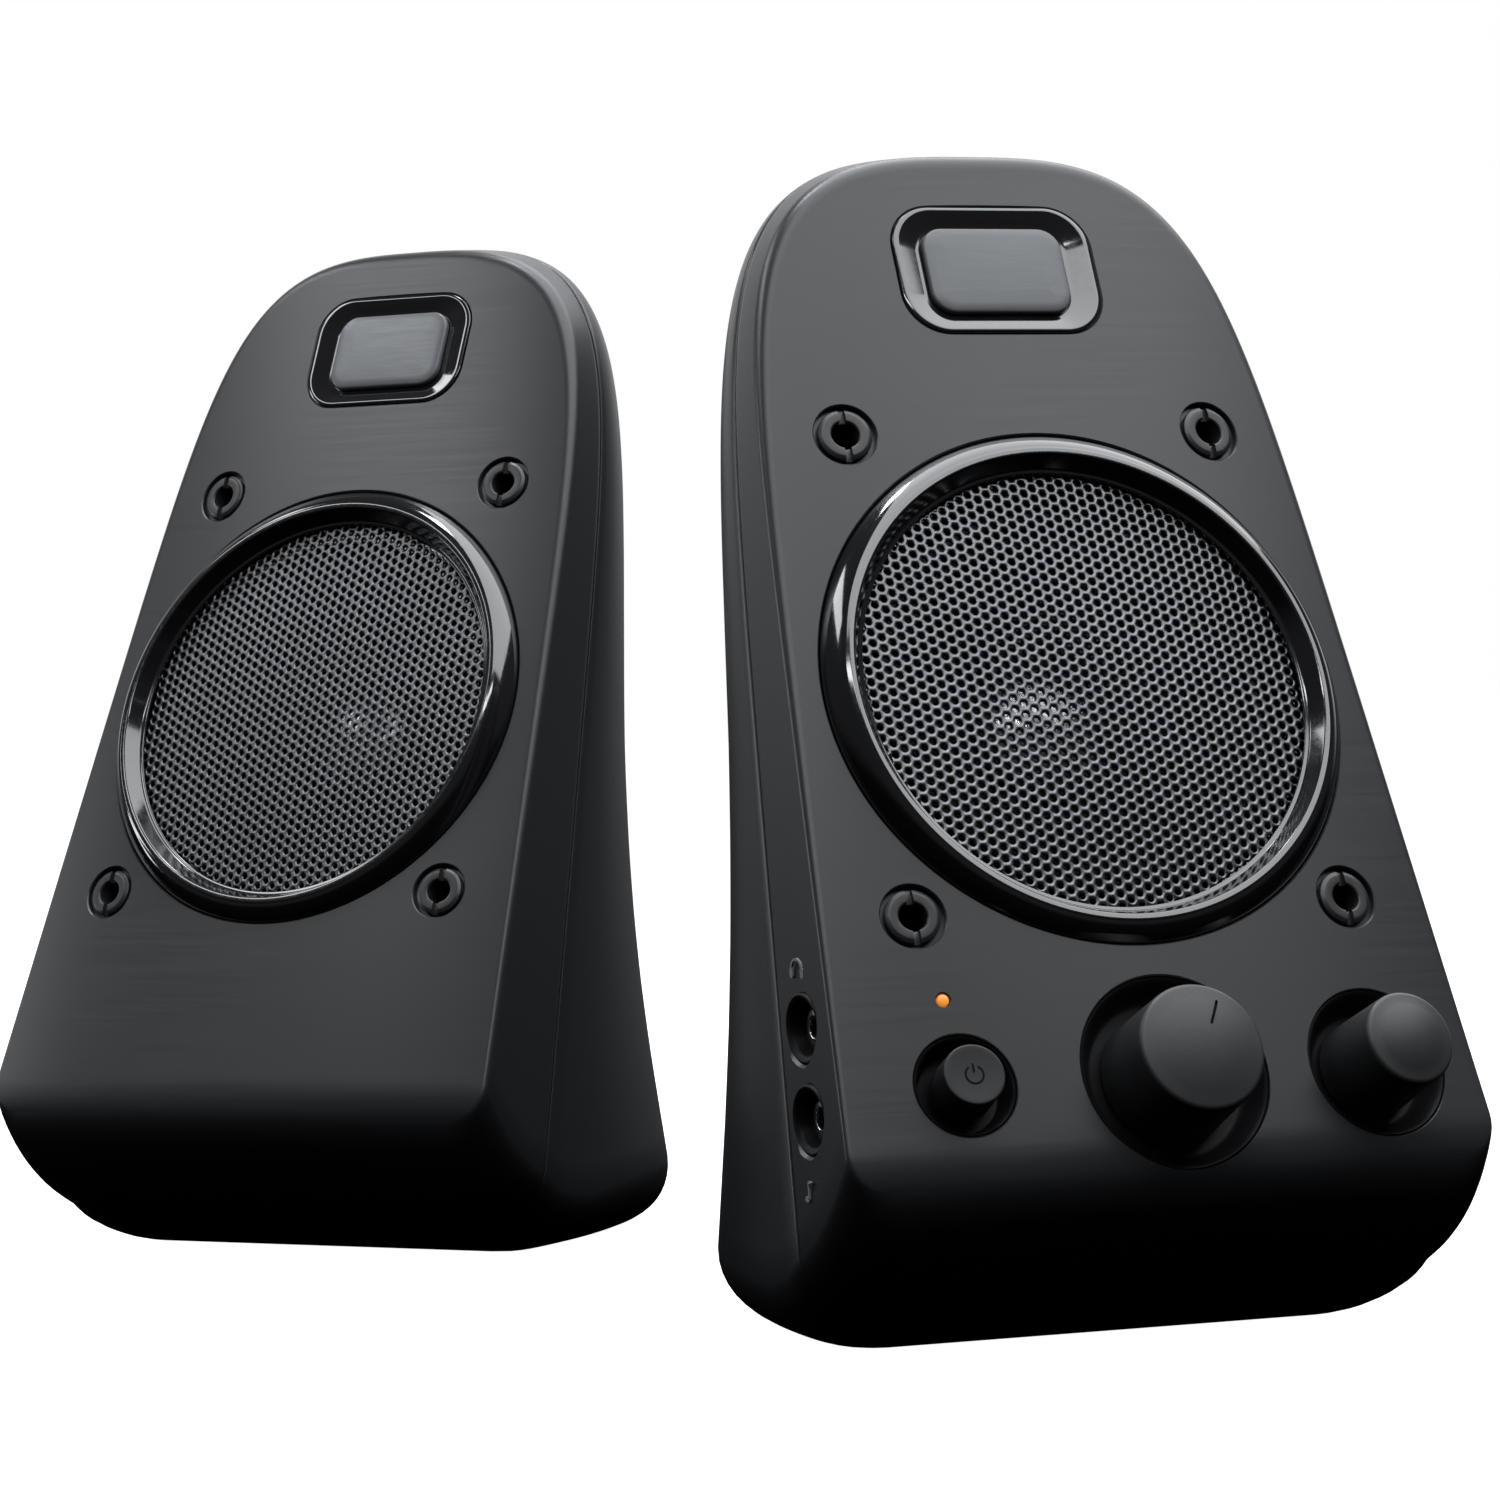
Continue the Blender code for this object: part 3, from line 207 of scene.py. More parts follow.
def soft_frames(wide, tall, bend, h, steps=10):
    """Rows of rectangles with round corners, from half sizes, corner radii and heights."""
    wide, tall, bend, h = (np.asarray(row, float)[:, None] for row in (wide, tall, bend, h))
    quarter = np.linspace(0.0, 0.5 * pi, steps + 1)
    t = np.concatenate([quarter + 0.5 * pi * k for k in range(4)])
    sx = np.repeat([1.0, -1.0, -1.0, 1.0], steps + 1)
    sy = np.repeat([1.0, 1.0, -1.0, -1.0], steps + 1)
    x = sx * (wide - np.minimum(bend, wide)) + np.minimum(bend, wide) * np.cos(t)
    y = sy * (tall - np.minimum(bend, tall)) + np.minimum(bend, tall) * np.sin(t)
    points = np.stack([x, y, np.broadcast_to(h, x.shape)], axis=-1)
    return points.reshape(-1, 3), grid_faces(len(h), len(t))


def border(width, height, corner, profile, steps=10):
    """A profile of (inset, h) carried round a rectangle whose corners are round."""
    inset, h = np.asarray(profile, float).T
    sizes = (0.5 * width, 0.5 * height, corner)
    wide, tall, bend = (np.clip(size - inset, 0.0, None) for size in sizes)
    return soft_frames(wide, tall, bend, h, steps)


print("a softened corner takes at most", CORNER_SHARE, "of a side")

# %% [markdown]
# One function welds the grids, points their faces outward and hands the mesh over, which
# keeps seams and poles closed everywhere. A second one makes it a piece: it gets a finish,
# rides a body of the frame and stands for the solids that it covers. Openings are cut with
# one exact Boolean per shell, because their edges cross the grid anywhere.

# %% Meshes and pieces
WELD = 0.0000012
SHARP_EDGE = radians(38.0)


def moved(patches, *moves):
    """Grids whose points go through some moves, one after another."""
    for move in moves:
        patches = [(move(points), quads) for points, quads in patches]
    return patches


def write_mesh(name, patches):
    """Grids in the world's millimetres as one welded mesh in metres, facing outward."""
    offsets = np.cumsum([0] + [len(points) for points, _ in patches[:-1]])
    points = np.concatenate([points for points, _ in patches]) * MM
    faces = np.concatenate([quads + shift for (_, quads), shift in zip(patches, offsets)])
    mesh = bpy.data.meshes.new(name)
    mesh.vertices.add(len(points))
    mesh.vertices.foreach_set("co", points.ravel())
    mesh.loops.add(faces.size)
    mesh.loops.foreach_set("vertex_index", faces.ravel())
    mesh.polygons.add(len(faces))
    mesh.polygons.foreach_set("loop_start", np.arange(0, faces.size, 4))
    mesh.update(calc_edges=True)
    mesh.validate()
    shape = bmesh.new()
    shape.from_mesh(mesh)
    bmesh.ops.remove_doubles(shape, verts=shape.verts, dist=WELD)
    bmesh.ops.recalc_face_normals(shape, faces=shape.faces)
    if shape.calc_volume(signed=True) < 0.0:
        bmesh.ops.reverse_faces(shape, faces=shape.faces)
    shape.to_mesh(mesh)
    shape.free()
    return mesh


def places(mesh):
    """A mesh's points as an array, in metres."""
    flat = np.empty(len(mesh.vertices) * 3)
    mesh.vertices.foreach_get("co", flat)
    return flat.reshape(-1, 3)


def soft_shade(mesh):
    """Smooth shading that keeps sharp edges crisp."""
    mesh.shade_smooth()
    mesh.set_sharp_from_angle(angle=SHARP_EDGE)


def add_object(name, data):
    """A new object in the scene."""
    obj = bpy.data.objects.new(name, data)
    bpy.context.scene.collection.objects.link(obj)
    return obj


def show(name, patches, look, nodes=(), body="cabinets"):
    """Grids as a piece that rides a body, unless it is None, and stands for some nodes."""
    mesh = write_mesh(name, patches)
    obj = add_object(name, mesh)
    mesh.materials.append(look)
    soft_shade(mesh)
    if body:
        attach(obj, body)
    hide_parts(*nodes)
    return obj


def both(stem, node, patches, spot, look, moving=None):
    """The same piece on each satellite, riding the cabinets or that side's moving body."""
    pieces = []
    for side in SATELLITES:
        body = side + moving if moving else "cabinets"
        grids = moved(patches, spot, partial(stand, side))
        pieces.append(show(side + stem, grids, look, [side + node], body))
    return pieces


def carve(obj, patches):
    """Take closed grids out of a piece with one exact Boolean, and keep what it makes."""
    tool = add_object("tool", write_mesh("tool", patches))
    cut = obj.modifiers.new("Openings", "BOOLEAN")
    cut.operation = "DIFFERENCE"
    cut.solver = "EXACT"
    cut.object = tool
    bpy.context.view_layer.update()
    seen = obj.evaluated_get(bpy.context.evaluated_depsgraph_get())
    mesh = bpy.data.meshes.new_from_object(seen)
    obj.modifiers.clear()
    obj.data = mesh
    soft_shade(mesh)
    bpy.data.objects.remove(tool, do_unlink=True)


def gently(share):
    """A share held between 0 and 1 that starts and ends level: 3 s squared less 2 s cubed."""
    share = np.clip(share, 0.0, 1.0)
    return (share * share * (3.0 - 2.0 * share)).astype(np.float32)


def tell(what, objects):
    """Print how many faces each new piece has."""
    counts = ", ".join(obj.name + " " + str(len(obj.data.polygons)) for obj in objects)
    print(what + ":", counts)


print("grids are welded at", WELD / MM, "mm")

# %% [markdown]
# Nothing on a real speaker is one flat colour. Moulded plastic has a fine spark grain and
# drifts a little in gloss, metal shows its rolling marks, paper its fibres. One recipe covers
# most of them: a wide noise shifts the colour, a fine noise drives roughness and a shallow
# bump. All of them read Object coordinates, so a pattern stays on its piece as it moves.

# %% Shader nodes
WIDE_NOISE = 40.0
COAT_ROUGHNESS = 0.05


def feed(tree, node, inputs):
    """Give a node's inputs, by name or number, a link if it is a socket, else a value."""
    for key, value in inputs.items():
        if isinstance(value, bpy.types.NodeSocket):
            tree.links.new(value, node.inputs[key])
        else:
            node.inputs[key].default_value = value


def add(tree, kind, inputs=(), **settings):
    """A new shader node of a kind, with its settings and its inputs."""
    node = tree.nodes.new("ShaderNode" + kind)
    for key, value in settings.items():
        setattr(node, key, value)
    feed(tree, node, dict(inputs))
    return node


def start_look(name):
    """A new material with its node tree and its Principled shader at hand."""
    look = bpy.data.materials.new(name)
    look.use_nodes = True
    return look, look.node_tree, look.node_tree.nodes["Principled BSDF"]


def noise(tree, scale, stretch=(1.0, 1.0, 1.0), detail=4.0):
    """Noise on Object coordinates, in features per metre, stretched along chosen axes."""
    place = add(tree, "TexCoord").outputs["Object"]
    pulled = add(tree, "Mapping", {"Vector": place, "Scale": stretch}).outputs["Vector"]
    inputs = {"Vector": pulled, "Scale": scale, "Detail": detail}
    return add(tree, "TexNoise", inputs).outputs["Fac"]


def spread(tree, value, low, high, start=0.3, end=0.7, kind="LINEAR"):
    """A value between a start and an end, by default most of a noise, spread over a range."""
    inputs = {"Value": value, "From Min": start, "From Max": end, "To Min": low, "To Max": high}
    return add(tree, "MapRange", inputs, interpolation_type=kind).outputs["Result"]


def shades(colour, drift):
    """A colour made darker and paler by a share, each with its alpha."""
    return [(*(c * tone for c in colour), 1.0) for tone in (1.0 - drift, 1.0 + drift)]


def mixed(tree, share, first, second, kind="RGBA"):
    """What lies between two colours, or two plain values, at a share."""
    a, b, result = {"RGBA": (6, 7, 2), "FLOAT": (2, 3, 0)}[kind]
    return add(tree, "Mix", {0: share, a: first, b: second}, data_type=kind).outputs[result]


def bumped(tree, value, depth, strength):
    """A bump of a depth in metres from a noise value."""
    inputs = {"Height": value, "Distance": depth, "Strength": strength}
    return add(tree, "Bump", inputs).outputs["Normal"]


def grained(name, colour, rough, drift=0.12, swing=0.06, grain=2500.0, depth=0.00006,
            strength=0.25, stretch=(1.0, 1.0, 1.0), metal=0.0, coat=0.0, specular=0.5,
            glow=(1.0, 1.0, 1.0), shine=0.0):
    """Colour drifts by a share, roughness swings about its mean, and a fine grain stands up."""
    look, tree, shader = start_look(name)
    wide = noise(tree, WIDE_NOISE)
    fine = noise(tree, grain, stretch)
    feed(tree, shader, {
        "Base Color": mixed(tree, wide, *shades(colour, drift)),
        "Roughness": spread(tree, fine, rough - swing, rough + swing),
        "Normal": bumped(tree, fine, depth, strength),
        "Metallic": metal,
        "Coat Weight": coat,
        "Coat Roughness": COAT_ROUGHNESS,
        "Specular IOR Level": specular,
        "Emission Color": (*glow, 1.0),
        "Emission Strength": shine,
    })
    return look


print("most noise lies between 0.3 and 0.7, which spread() stretches")

# %% [markdown]
# Each finish below is one line of that recipe. Gloss trim is smooth under a thin coat, satin
# and knob skins have a finer grain, and metals differ in colour and roughness only. The
# values were set side by side with the photograph.

# %% Finishes
GLOSS_BLACK = grained("gloss_black", (0.006, 0.006, 0.007), 0.10, swing=0.03, grain=900.0,
                      depth=0.00001, coat=0.4, specular=0.9)
WELL_BLACK = grained("well_black", (0.005, 0.005, 0.006), 0.50, swing=0.05, specular=0.2)
# Near-black, for the strip of painted shade on the floor of the volume knob's groove.
GROOVE_SHADE_BLACK = grained("slot_black", (0.002, 0.002, 0.002), 0.60, specular=0.2)
SATIN_GREY = grained("satin_grey", (0.120, 0.124, 0.132), 0.34, stretch=(0.05, 0.05, 1.0),
                     grain=3500.0)
KNOB_SKIN = grained("knob_skin", (0.024, 0.025, 0.027), 0.44, grain=5200.0, depth=0.00008,
                    strength=0.35)
KEY_SKIN = grained("key_skin", (0.018, 0.018, 0.020), 0.46, grain=5200.0, depth=0.00008,
                   strength=0.35, specular=0.35)
GRILLE_METAL = grained("grille_metal", (0.125, 0.127, 0.133), 0.36, metal=1.0, grain=1800.0,
                       drift=0.2)
COLLAR_SATIN = grained("collar_satin", (0.020, 0.020, 0.022), 0.36, grain=3000.0)
RUBBER = grained("rubber", (0.010, 0.010, 0.010), 0.72, grain=1800.0, depth=0.00010,
                 strength=0.4, specular=0.3)
CONE_PAPER = grained("cone_paper", (0.020, 0.020, 0.021), 0.75, grain=700.0, depth=0.00030,
                     strength=0.6, drift=0.3)
ROLL_RUBBER = grained("roll_rubber", (0.012, 0.012, 0.012), 0.55, grain=1400.0)
BRIGHT_ALLOY = grained("bright_alloy", (0.85, 0.86, 0.88), 0.19, metal=1.0, drift=0.06,
                       swing=0.04)
PLATED_STEEL = grained("plated_steel", (0.42, 0.42, 0.43), 0.36, metal=1.0, grain=1200.0,
                       drift=0.15)
FERRITE = grained("ferrite", (0.030, 0.030, 0.032), 0.62, grain=900.0, depth=0.00020,
                  strength=0.6)
COPPER = grained("copper_winding", (0.50, 0.22, 0.09), 0.34, metal=1.0, grain=4500.0,
                 stretch=(0.05, 1.0, 1.0))
SPIDER_CLOTH = grained("spider_cloth", (0.33, 0.20, 0.07), 0.85, grain=1900.0, depth=0.00030,
                       strength=0.8, drift=0.25)
CIRCUIT_BOARD = grained("circuit_board", (0.015, 0.090, 0.035), 0.45, grain=500.0, drift=0.35)
PRINT_INK = grained("print_ink", (0.30, 0.30, 0.31), 0.55, grain=3000.0)
KEY_INK = grained("key_ink", (0.002, 0.002, 0.002), 0.60, grain=3000.0, specular=0.1)
AMBER_LENS = grained("amber_lens", (0.85, 0.24, 0.02), 0.22, drift=0.2, grain=1500.0,
                     depth=0.00001, glow=(1.0, 0.34, 0.07), shine=0.45)
print("finishes:", len(bpy.data.materials))

# %% [markdown]
# The cabinet's plastic carries two textures from one mould: a fine level brushing on the
# face and a plain spark grain on the sides, the chin and the back. The sides, the chin and the
# back also get a darker colour than the face: painted shade where they turn from the lights.
# A mask written on the mesh says where the face is. Here the mask blends colour, gloss and
# bump between the two.

# %% The cabinet's plastic
FACE_COLOUR = (0.020, 0.0215, 0.024)
# Darker than the face: painted shade on the sides, the chin and the back.
SIDE_SHADE_COLOUR = (0.013, 0.0135, 0.015)
BRUSH = (1900.0, (0.02, 0.02, 1.0), 3.0)


def cabinet_plastic():
    """Side grain in a darker painted shade and face brushing, mixed by the mesh attribute named
    face.
    """
    look, tree, shader = start_look("cabinet_plastic")
    mask = add(tree, "Attribute", attribute_name="face").outputs["Fac"]
    brush = noise(tree, *BRUSH)
    spark = noise(tree, 2600.0)
    face = mixed(tree, brush, *shades(FACE_COLOUR, 0.07))
    # The sides' darker colour is painted shade.
    side = mixed(tree, noise(tree, 30.0), *shades(SIDE_SHADE_COLOUR, 0.12))
    face_rough = spread(tree, brush, 0.31, 0.37)
    side_rough = spread(tree, spark, 0.28, 0.36)
    relief = mixed(tree, mask, spark, brush, "FLOAT")
    feed(tree, shader, {
        "Base Color": mixed(tree, mask, side, face),
        "Roughness": mixed(tree, mask, side_rough, face_rough, "FLOAT"),
        "Normal": bumped(tree, relief, 0.00005, 0.05),
    })
    return look


CABINET_PLASTIC = cabinet_plastic()
print("cabinet plastic blends", FACE_COLOUR, "and", SIDE_SHADE_COLOUR)

# %% [markdown]
# The front shell is a moulded tray: a leaning, bowed face with a soft edge, and sides that
# run back to a sloping seam. It could be a subdivided box, but its outline is a
# superellipse crown on tapering sides, so it is drawn by formula. Half an outline runs from
# the top to the underside, and is carried from the face's edge to the seam.

# %% Outlines of the shells
CROWN_SHARPNESS = 9.8
SHOULDER_SHARPNESS = 3.1
LIP_CORNER = 6.5
HULL = np.array([19.0, 9.5])
SIDE_FLARE = 0.6
FOOT_DROP = 1.0
CHIN_END_Y = 8.5
CHIN_POWER = 2.2
SEAM_Y_AT_LIP = -6.3
SEAM_SLOPE = 0.335
UP_STEPS = 72
UP_CROWDING = 2.2
CORNER_STEPS = 12
BASE_STEPS = 26


def face_y(z):
    """How far back the leaning face plane is at a height."""
    return (z - DRIVER_HEIGHT) * tan(LEAN)


def seam_y(z):
    """How far back the seam is at a height: a sloping plane."""
    return SEAM_Y_AT_LIP + SEAM_SLOPE * (z - LIP_HEIGHT)


def floor_z(y):
    """The underside: a power curve under the chin, then flat."""
    run = np.clip((CHIN_END_Y - y) / (CHIN_END_Y - face_y(LIP_HEIGHT)), 0.0, None)
    return FOOT_DROP + (LIP_HEIGHT - FOOT_DROP) * run**CHIN_POWER


def seam_floor():
    """The height where the seam plane meets the underside, by repeated halving."""
    z = FOOT_DROP
    for _ in range(60):
        z = 0.5 * (z + floor_z(seam_y(z)))
    return float(z)


SEAM_LOW = seam_floor()


def unit(rows):
    """Vectors scaled to length one."""
    return rows / np.maximum(np.linalg.norm(rows, axis=-1, keepdims=True), 1e-9)


def outward(x, z):
    """Unit normals of a half outline in its own plane, by central differences."""
    wide = np.concatenate([[-x[1]], x, [-x[-2]]])
    tall = np.concatenate([[z[1]], z, [z[-2]]])
    along_x = wide[2:] - wide[:-2]
    along_z = tall[2:] - tall[:-2]
    length = np.hypot(along_x, along_z)
    return -along_z / length, along_x / length


def crown(share):
    """The share of the width left at a share of the height: a superellipse."""
    return np.clip(1.0 - share**CROWN_SHARPNESS, 0.0, None) ** (1.0 / SHOULDER_SHARPNESS)


def half_outline(low, high, corner, grow=0.0):
    """Top to bottom: a crown on tapering sides, an elliptic corner, a flat base."""
    low = low + grow
    high = high - grow
    bend = low + corner[1]
    z = high - (high - bend) * np.linspace(0.0, 1.0, UP_STEPS + 1) ** UP_CROWDING
    start = min(LIP_HEIGHT, bend)
    share = np.clip((z - start) / (high - start), 0.0, 1.0)
    x = (LIP_HALF_WIDTH - SIDE_TAPER * share * (BODY_HEIGHT - LIP_HEIGHT)) * crown(share)
    a = np.linspace(0.0, 0.5 * pi, CORNER_STEPS + 1)[1:]
    turn = x[-1] - corner[0] + corner[0] * np.cos(a)
    base = np.linspace(turn[-1], 0.0, BASE_STEPS + 1)[1:]
    x = np.concatenate([x, turn, base])
    z = np.concatenate([z, bend - corner[1] * np.sin(a), np.full(BASE_STEPS, low)])
    nx, nz = outward(x, z)
    return x + grow * nx, z + grow * nz


def side_row(g, wall=0.0):
    """A half section of the tray's side, from the face's edge at 0 to the seam at 1."""
    corner = LIP_CORNER + (HULL - LIP_CORNER) * g
    base = floor_z((1.0 - g) * face_y(LIP_HEIGHT) + g * seam_y(SEAM_LOW)) + wall
    top = BODY_HEIGHT - SIDE_FLARE * (1.0 - g) - wall
    x, z = half_outline(base, top, corner, SIDE_FLARE * g)
    half = straight_half(z)
    x = x * (1.0 - wall / half)
    y = (1.0 - g) * (face_y(z) + (bow(x, half) + wall) / COS_LEAN) + g * seam_y(z)
    return np.stack([x, y, z], axis=-1)


def mirrored(rows):
    """Rows of half sections closed into full rings by their mirror image in x."""
    rows = np.asarray(rows)
    other = rows[:, -2:0:-1] * np.array([-1.0, 1.0, 1.0])
    rings = np.concatenate([rows, other], axis=1)
    return rings.reshape(-1, 3), grid_faces(rings.shape[0], rings.shape[1])


print("seam meets the underside at z", round(SEAM_LOW, 2), "mm")

# %% [markdown]
# The edge between face and side is a rounding whose size grows from 0.8 mm low down to
# 2.2 mm at the shoulders. Each column of the grid gets its own quadratic Bezier from the face,
# round the sharp corner, to the side. The bottom lip is a wider roll that runs straight through
# to both sides, so it is pressed into the finished grid. An inner wall of the same outline,
# 2.4 mm in, closes the tray, so the openings cut into it have real thickness.

# %% The front tray as a grid
EDGE_ROUND = (0.8, 2.2)
EDGE_FADE = 0.97
WALL = 2.4
SEAM_GAP = 0.5
SEAM_ROUND = 0.35
CROWDING = 1.7
FACE_RINGS = 36
EDGE_RINGS = 10
SIDE_RINGS = 24
INNER_RINGS = 8
BACK_RINGS = 10


def face_edge():
    """Where the flat of the face ends: the corner line moved inward by the rounding's size."""
    corner = side_row(0.0)
    u, v, _ = to_face(corner)
    nu, nv = outward(u, v)
    low, high = EDGE_ROUND
    size = low + (high - low) * climb(corner[:, 2])
    size = size * (1.0 - EDGE_FADE * np.clip(-nv, 0.0, 1.0) ** 2)
    return u - nu * size, v - nv * size, size


def face_rows(u, v, count, sink=0.0):
    """Rings from a pole in the middle of the face out to an edge, on the bowed surface."""
    share = 1.0 - (1.0 - np.linspace(0.0, 1.0, count)[:, None]) ** CROWDING
    centre = 0.5 * (v.max() + v.min())
    across = u * share
    up = centre + (v - centre) * share
    return on_face(np.stack([across, up, face_w(across, up) - sink], axis=-1))


def seam_turn(stop, along, inward):
    """Three rows that round a shell's edge at the seam, from its outside to its inside."""
    middle = stop + (along + inward) * 0.3 * SEAM_ROUND
    return [stop + along * SEAM_ROUND, middle, stop + inward * SEAM_ROUND]


def front_rows():
    """Rings over the face, its rounded edge and the side, round the seam and back inside."""
    corner, middle, seam = (side_row(g) for g in (0.0, 0.5, 1.0))
    u, v, size = face_edge()
    face = face_rows(u, v, FACE_RINGS)
    begin = np.minimum(0.5 * size / np.linalg.norm(middle - corner, axis=1), 0.35)[:, None]

    def side(g):
        """The parabola through the corner, the middle and the seam."""
        return corner * (1 - g) * (1 - 2 * g) + 4 * middle * g * (1 - g) + seam * g * (2 * g - 1)

    end = side(begin)
    edge = bezier(face[-1], corner, end, np.linspace(0.0, 1.0, EDGE_RINGS)[1:, None, None])
    reach = 1.0 - 1.2 / np.linalg.norm(seam - end, axis=1)[:, None]
    steps = np.linspace(0.0, 1.0, SIDE_RINGS)[1:] ** CROWDING
    sides = [side(begin + (1 - begin) * s * reach) for s in steps]
    along = unit(seam - side(0.97))
    inward = unit(side_row(1.0, WALL) - seam)
    turn = seam_turn(seam - along * 0.5 * SEAM_GAP, -along, inward)
    inside = [side_row(g, WALL) for g in np.linspace(1.0, 0.0, INNER_RINGS)]
    inside[0] = inside[0] - along * 0.5 * SEAM_GAP
    inner_u, inner_v, _ = to_face(inside[-1])
    back = face_rows(inner_u, inner_v, BACK_RINGS, WALL)[::-1]
    return np.concatenate([face, edge, sides, turn, inside, back[1:]])


LIP_ROLL = 7.0


def lip_axes():
    """Unit directions (y, z) up the face and down the chin, as the rows leave the lip."""
    corner, middle, seam = (side_row(g)[-1, 1:] for g in (0.0, 0.5, 1.0))
    return np.array([SIN_LEAN, COS_LEAN]), unit(4.0 * middle - 3.0 * corner - seam)


def roll_lip(points):
    """Round the lip by a quadratic Bezier: a push that fades with the square of the way
    gone up the face and down the chin."""
    x, y, z = np.moveaxis(points, -1, 0)
    face, chin = lip_axes()
    behind = y - face_y(LIP_HEIGHT) - bow(x, LIP_HALF_WIDTH) / COS_LEAN
    apart = np.stack([behind, z - LIP_HEIGHT], axis=-1)
    reach = np.abs(apart @ np.linalg.inv(np.stack([face, chin]))).sum(axis=-1)
    push = 0.25 * LIP_ROLL * np.clip(1.0 - reach / LIP_ROLL, 0.0, 1.0) ** 2
    back, up = face + chin
    return np.stack([x, y + push * back, z + push * up], axis=-1)


FRONT_ROWS = roll_lip(front_rows())
print("front tray grid:", FRONT_ROWS.shape[0], "rows of", FRONT_ROWS.shape[1], "points a side")

# %% [markdown]
# The openings come next, as closed tools: a round hole for the driver's trim, a soft
# rectangle for the badge, four stepped holes for the fixing collars and, on the control
# satellite, three wells, a pin hole for the indicator and two jack holes. Their places are
# worked out first, most of them as shares of the driver ring's radius.

# %% Places on the face
FACE_TOP_V = (BODY_HEIGHT - SIDE_FLARE - DRIVER_HEIGHT) / COS_LEAN
FACE_LIP_V = (LIP_HEIGHT - DRIVER_HEIGHT) / COS_LEAN
RING_OUTER = min(0.4622 * FACE_TOP_V, -0.5354 * FACE_LIP_V)
BADGE_V = RING_OUTER + 0.588 * (FACE_TOP_V - RING_OUTER)
BEZEL = (0.797 * RING_OUTER, 0.522 * RING_OUTER, 0.165 * RING_OUTER)
COLLAR_PLACES = {"upper": (RING_OUTER + 11.6, 54.6), "lower": (RING_OUTER + 8.76, -45.1)}
CONTROL_V = -RING_OUTER - 0.551 * (-RING_OUTER - FACE_LIP_V)
CONTROL_U = {"power": -35.2, "volume": 0.4, "bass": 36.6}
DISH = {"power": 0.1836 * RING_OUTER, "volume": 0.354 * RING_OUTER, "bass": 0.2743 * RING_OUTER}
LED_U = CONTROL_U["power"] - 0.8
LED_V = CONTROL_V + DISH["power"] + 6.0
JACKS = {"headphone": (16.0, 53.4), "line_in": (17.7, 39.4)}
WALL_TIP = radians(-93.0)
WALL_TURN = radians(6.0)


def collar_spots():
    """The four collar names with their places on the face, from polar places round the ring."""
    spots = {}
    for level, (reach, angle) in COLLAR_PLACES.items():
        for hand, sign in (("left", -1.0), ("right", 1.0)):
            u = sign * reach * cos(radians(angle))
            spots[level + "_" + hand] = (u, reach * sin(radians(angle)))
    return spots


def wall_x(y, z):
    """The side wall's half width at a place between the face's edge and the seam."""
    edge = face_y(z) + FACE_CROWN / COS_LEAN
    g = float(np.clip((y - edge) / (seam_y(z) - edge), 0.0, 1.0))
    return float(straight_half(z) * crown(climb(z))) + SIDE_FLARE * g


def at_wall(setback, z, points, sink=0.3):
    """Points drawn flat, set on the left side wall: x up, y to the back, h out of the wall."""
    y = face_y(z) + setback
    a, b, h = np.moveaxis(points, -1, 0)
    x = a * cos(WALL_TIP) + h * sin(WALL_TIP)
    up = -a * sin(WALL_TIP) + h * cos(WALL_TIP)
    across = x * cos(WALL_TURN) - b * sin(WALL_TURN)
    deep = x * sin(WALL_TURN) + b * cos(WALL_TURN)
    return np.stack([across - wall_x(y, z) + sink, deep + y, up + z], axis=-1)


print("driver ring radius", round(RING_OUTER, 2), "badge at v", round(BADGE_V, 1),
      "controls at v", round(CONTROL_V, 1))

# %% [markdown]
# Each tool widens at the surface, which leaves the small bevel that a moulding has there. A
# tool that spans the bow follows it, so its bevel is even all round. After the cut the mask
# for the plastic is written on the points that the Boolean left.

# %% Cut the front trays
FIT = 0.15
BADGE_POCKET = 1.3
COLLAR_FLANGE = 4.6
COLLAR_GROOVE = 0.75
COLLAR_SHANK = 3.4
COLLAR_RECESS = 1.3
LED_RADIUS = 1.0
JACK_RADIUS = 5.6
MASK_DEPTH = 2.0
MASK_FADE = 1.7


def pin(radius, top=4.0, bottom=-9.0, bevel=0.25):
    """A round tool's profile: a bevel at the surface, then straight down."""
    wide = radius + 1.6 * bevel
    upper = [(0.0, top), (wide, top), (wide, 0.6 * bevel)]
    return upper + [(radius, -bevel), (radius, bottom), (0.0, bottom)]


def face_tools():
    """The openings that both trays share, in satellite millimetres."""
    tools = moved([lathe(pin(RING_OUTER + FIT, 3.0), 160)], bowed)
    profile = [(30.0, 3.0), (-FIT - 0.4, 3.0), (-FIT - 0.4, 0.15), (-FIT, -0.25)]
    profile += [(-FIT, -BADGE_POCKET), (30.0, -BADGE_POCKET)]
    tools += moved([border(*BEZEL, profile)], partial(bowed, v=BADGE_V))
    slim = COLLAR_SHANK + 0.3
    step = pin(COLLAR_FLANGE + COLLAR_GROOVE, 3.0, -COLLAR_RECESS)[:-1]
    step += [(slim, -COLLAR_RECESS), (slim, -8.0), (0.0, -8.0)]
    for spot in collar_spots().values():
        tools += moved([lathe(step, 48)], partial(at_spot, *spot))
    return tools


def control_tools():
    """The control satellite's wells, indicator hole and jack holes."""
    tools = []
    for name, radius in DISH.items():
        spot = partial(at_spot, CONTROL_U[name], CONTROL_V)
        tools += moved([lathe(pin(radius + FIT, 6.0, -14.0), 96)], spot)
    hole = lathe(pin(LED_RADIUS + 0.2, 2.0, -7.0, 0.15), 24)
    tools += moved([hole], partial(at_spot, LED_U, LED_V))
    for spot in JACKS.values():
        tools += moved([lathe(pin(JACK_RADIUS + FIT, bevel=0.3), 64)], partial(at_wall, *spot))
    return tools


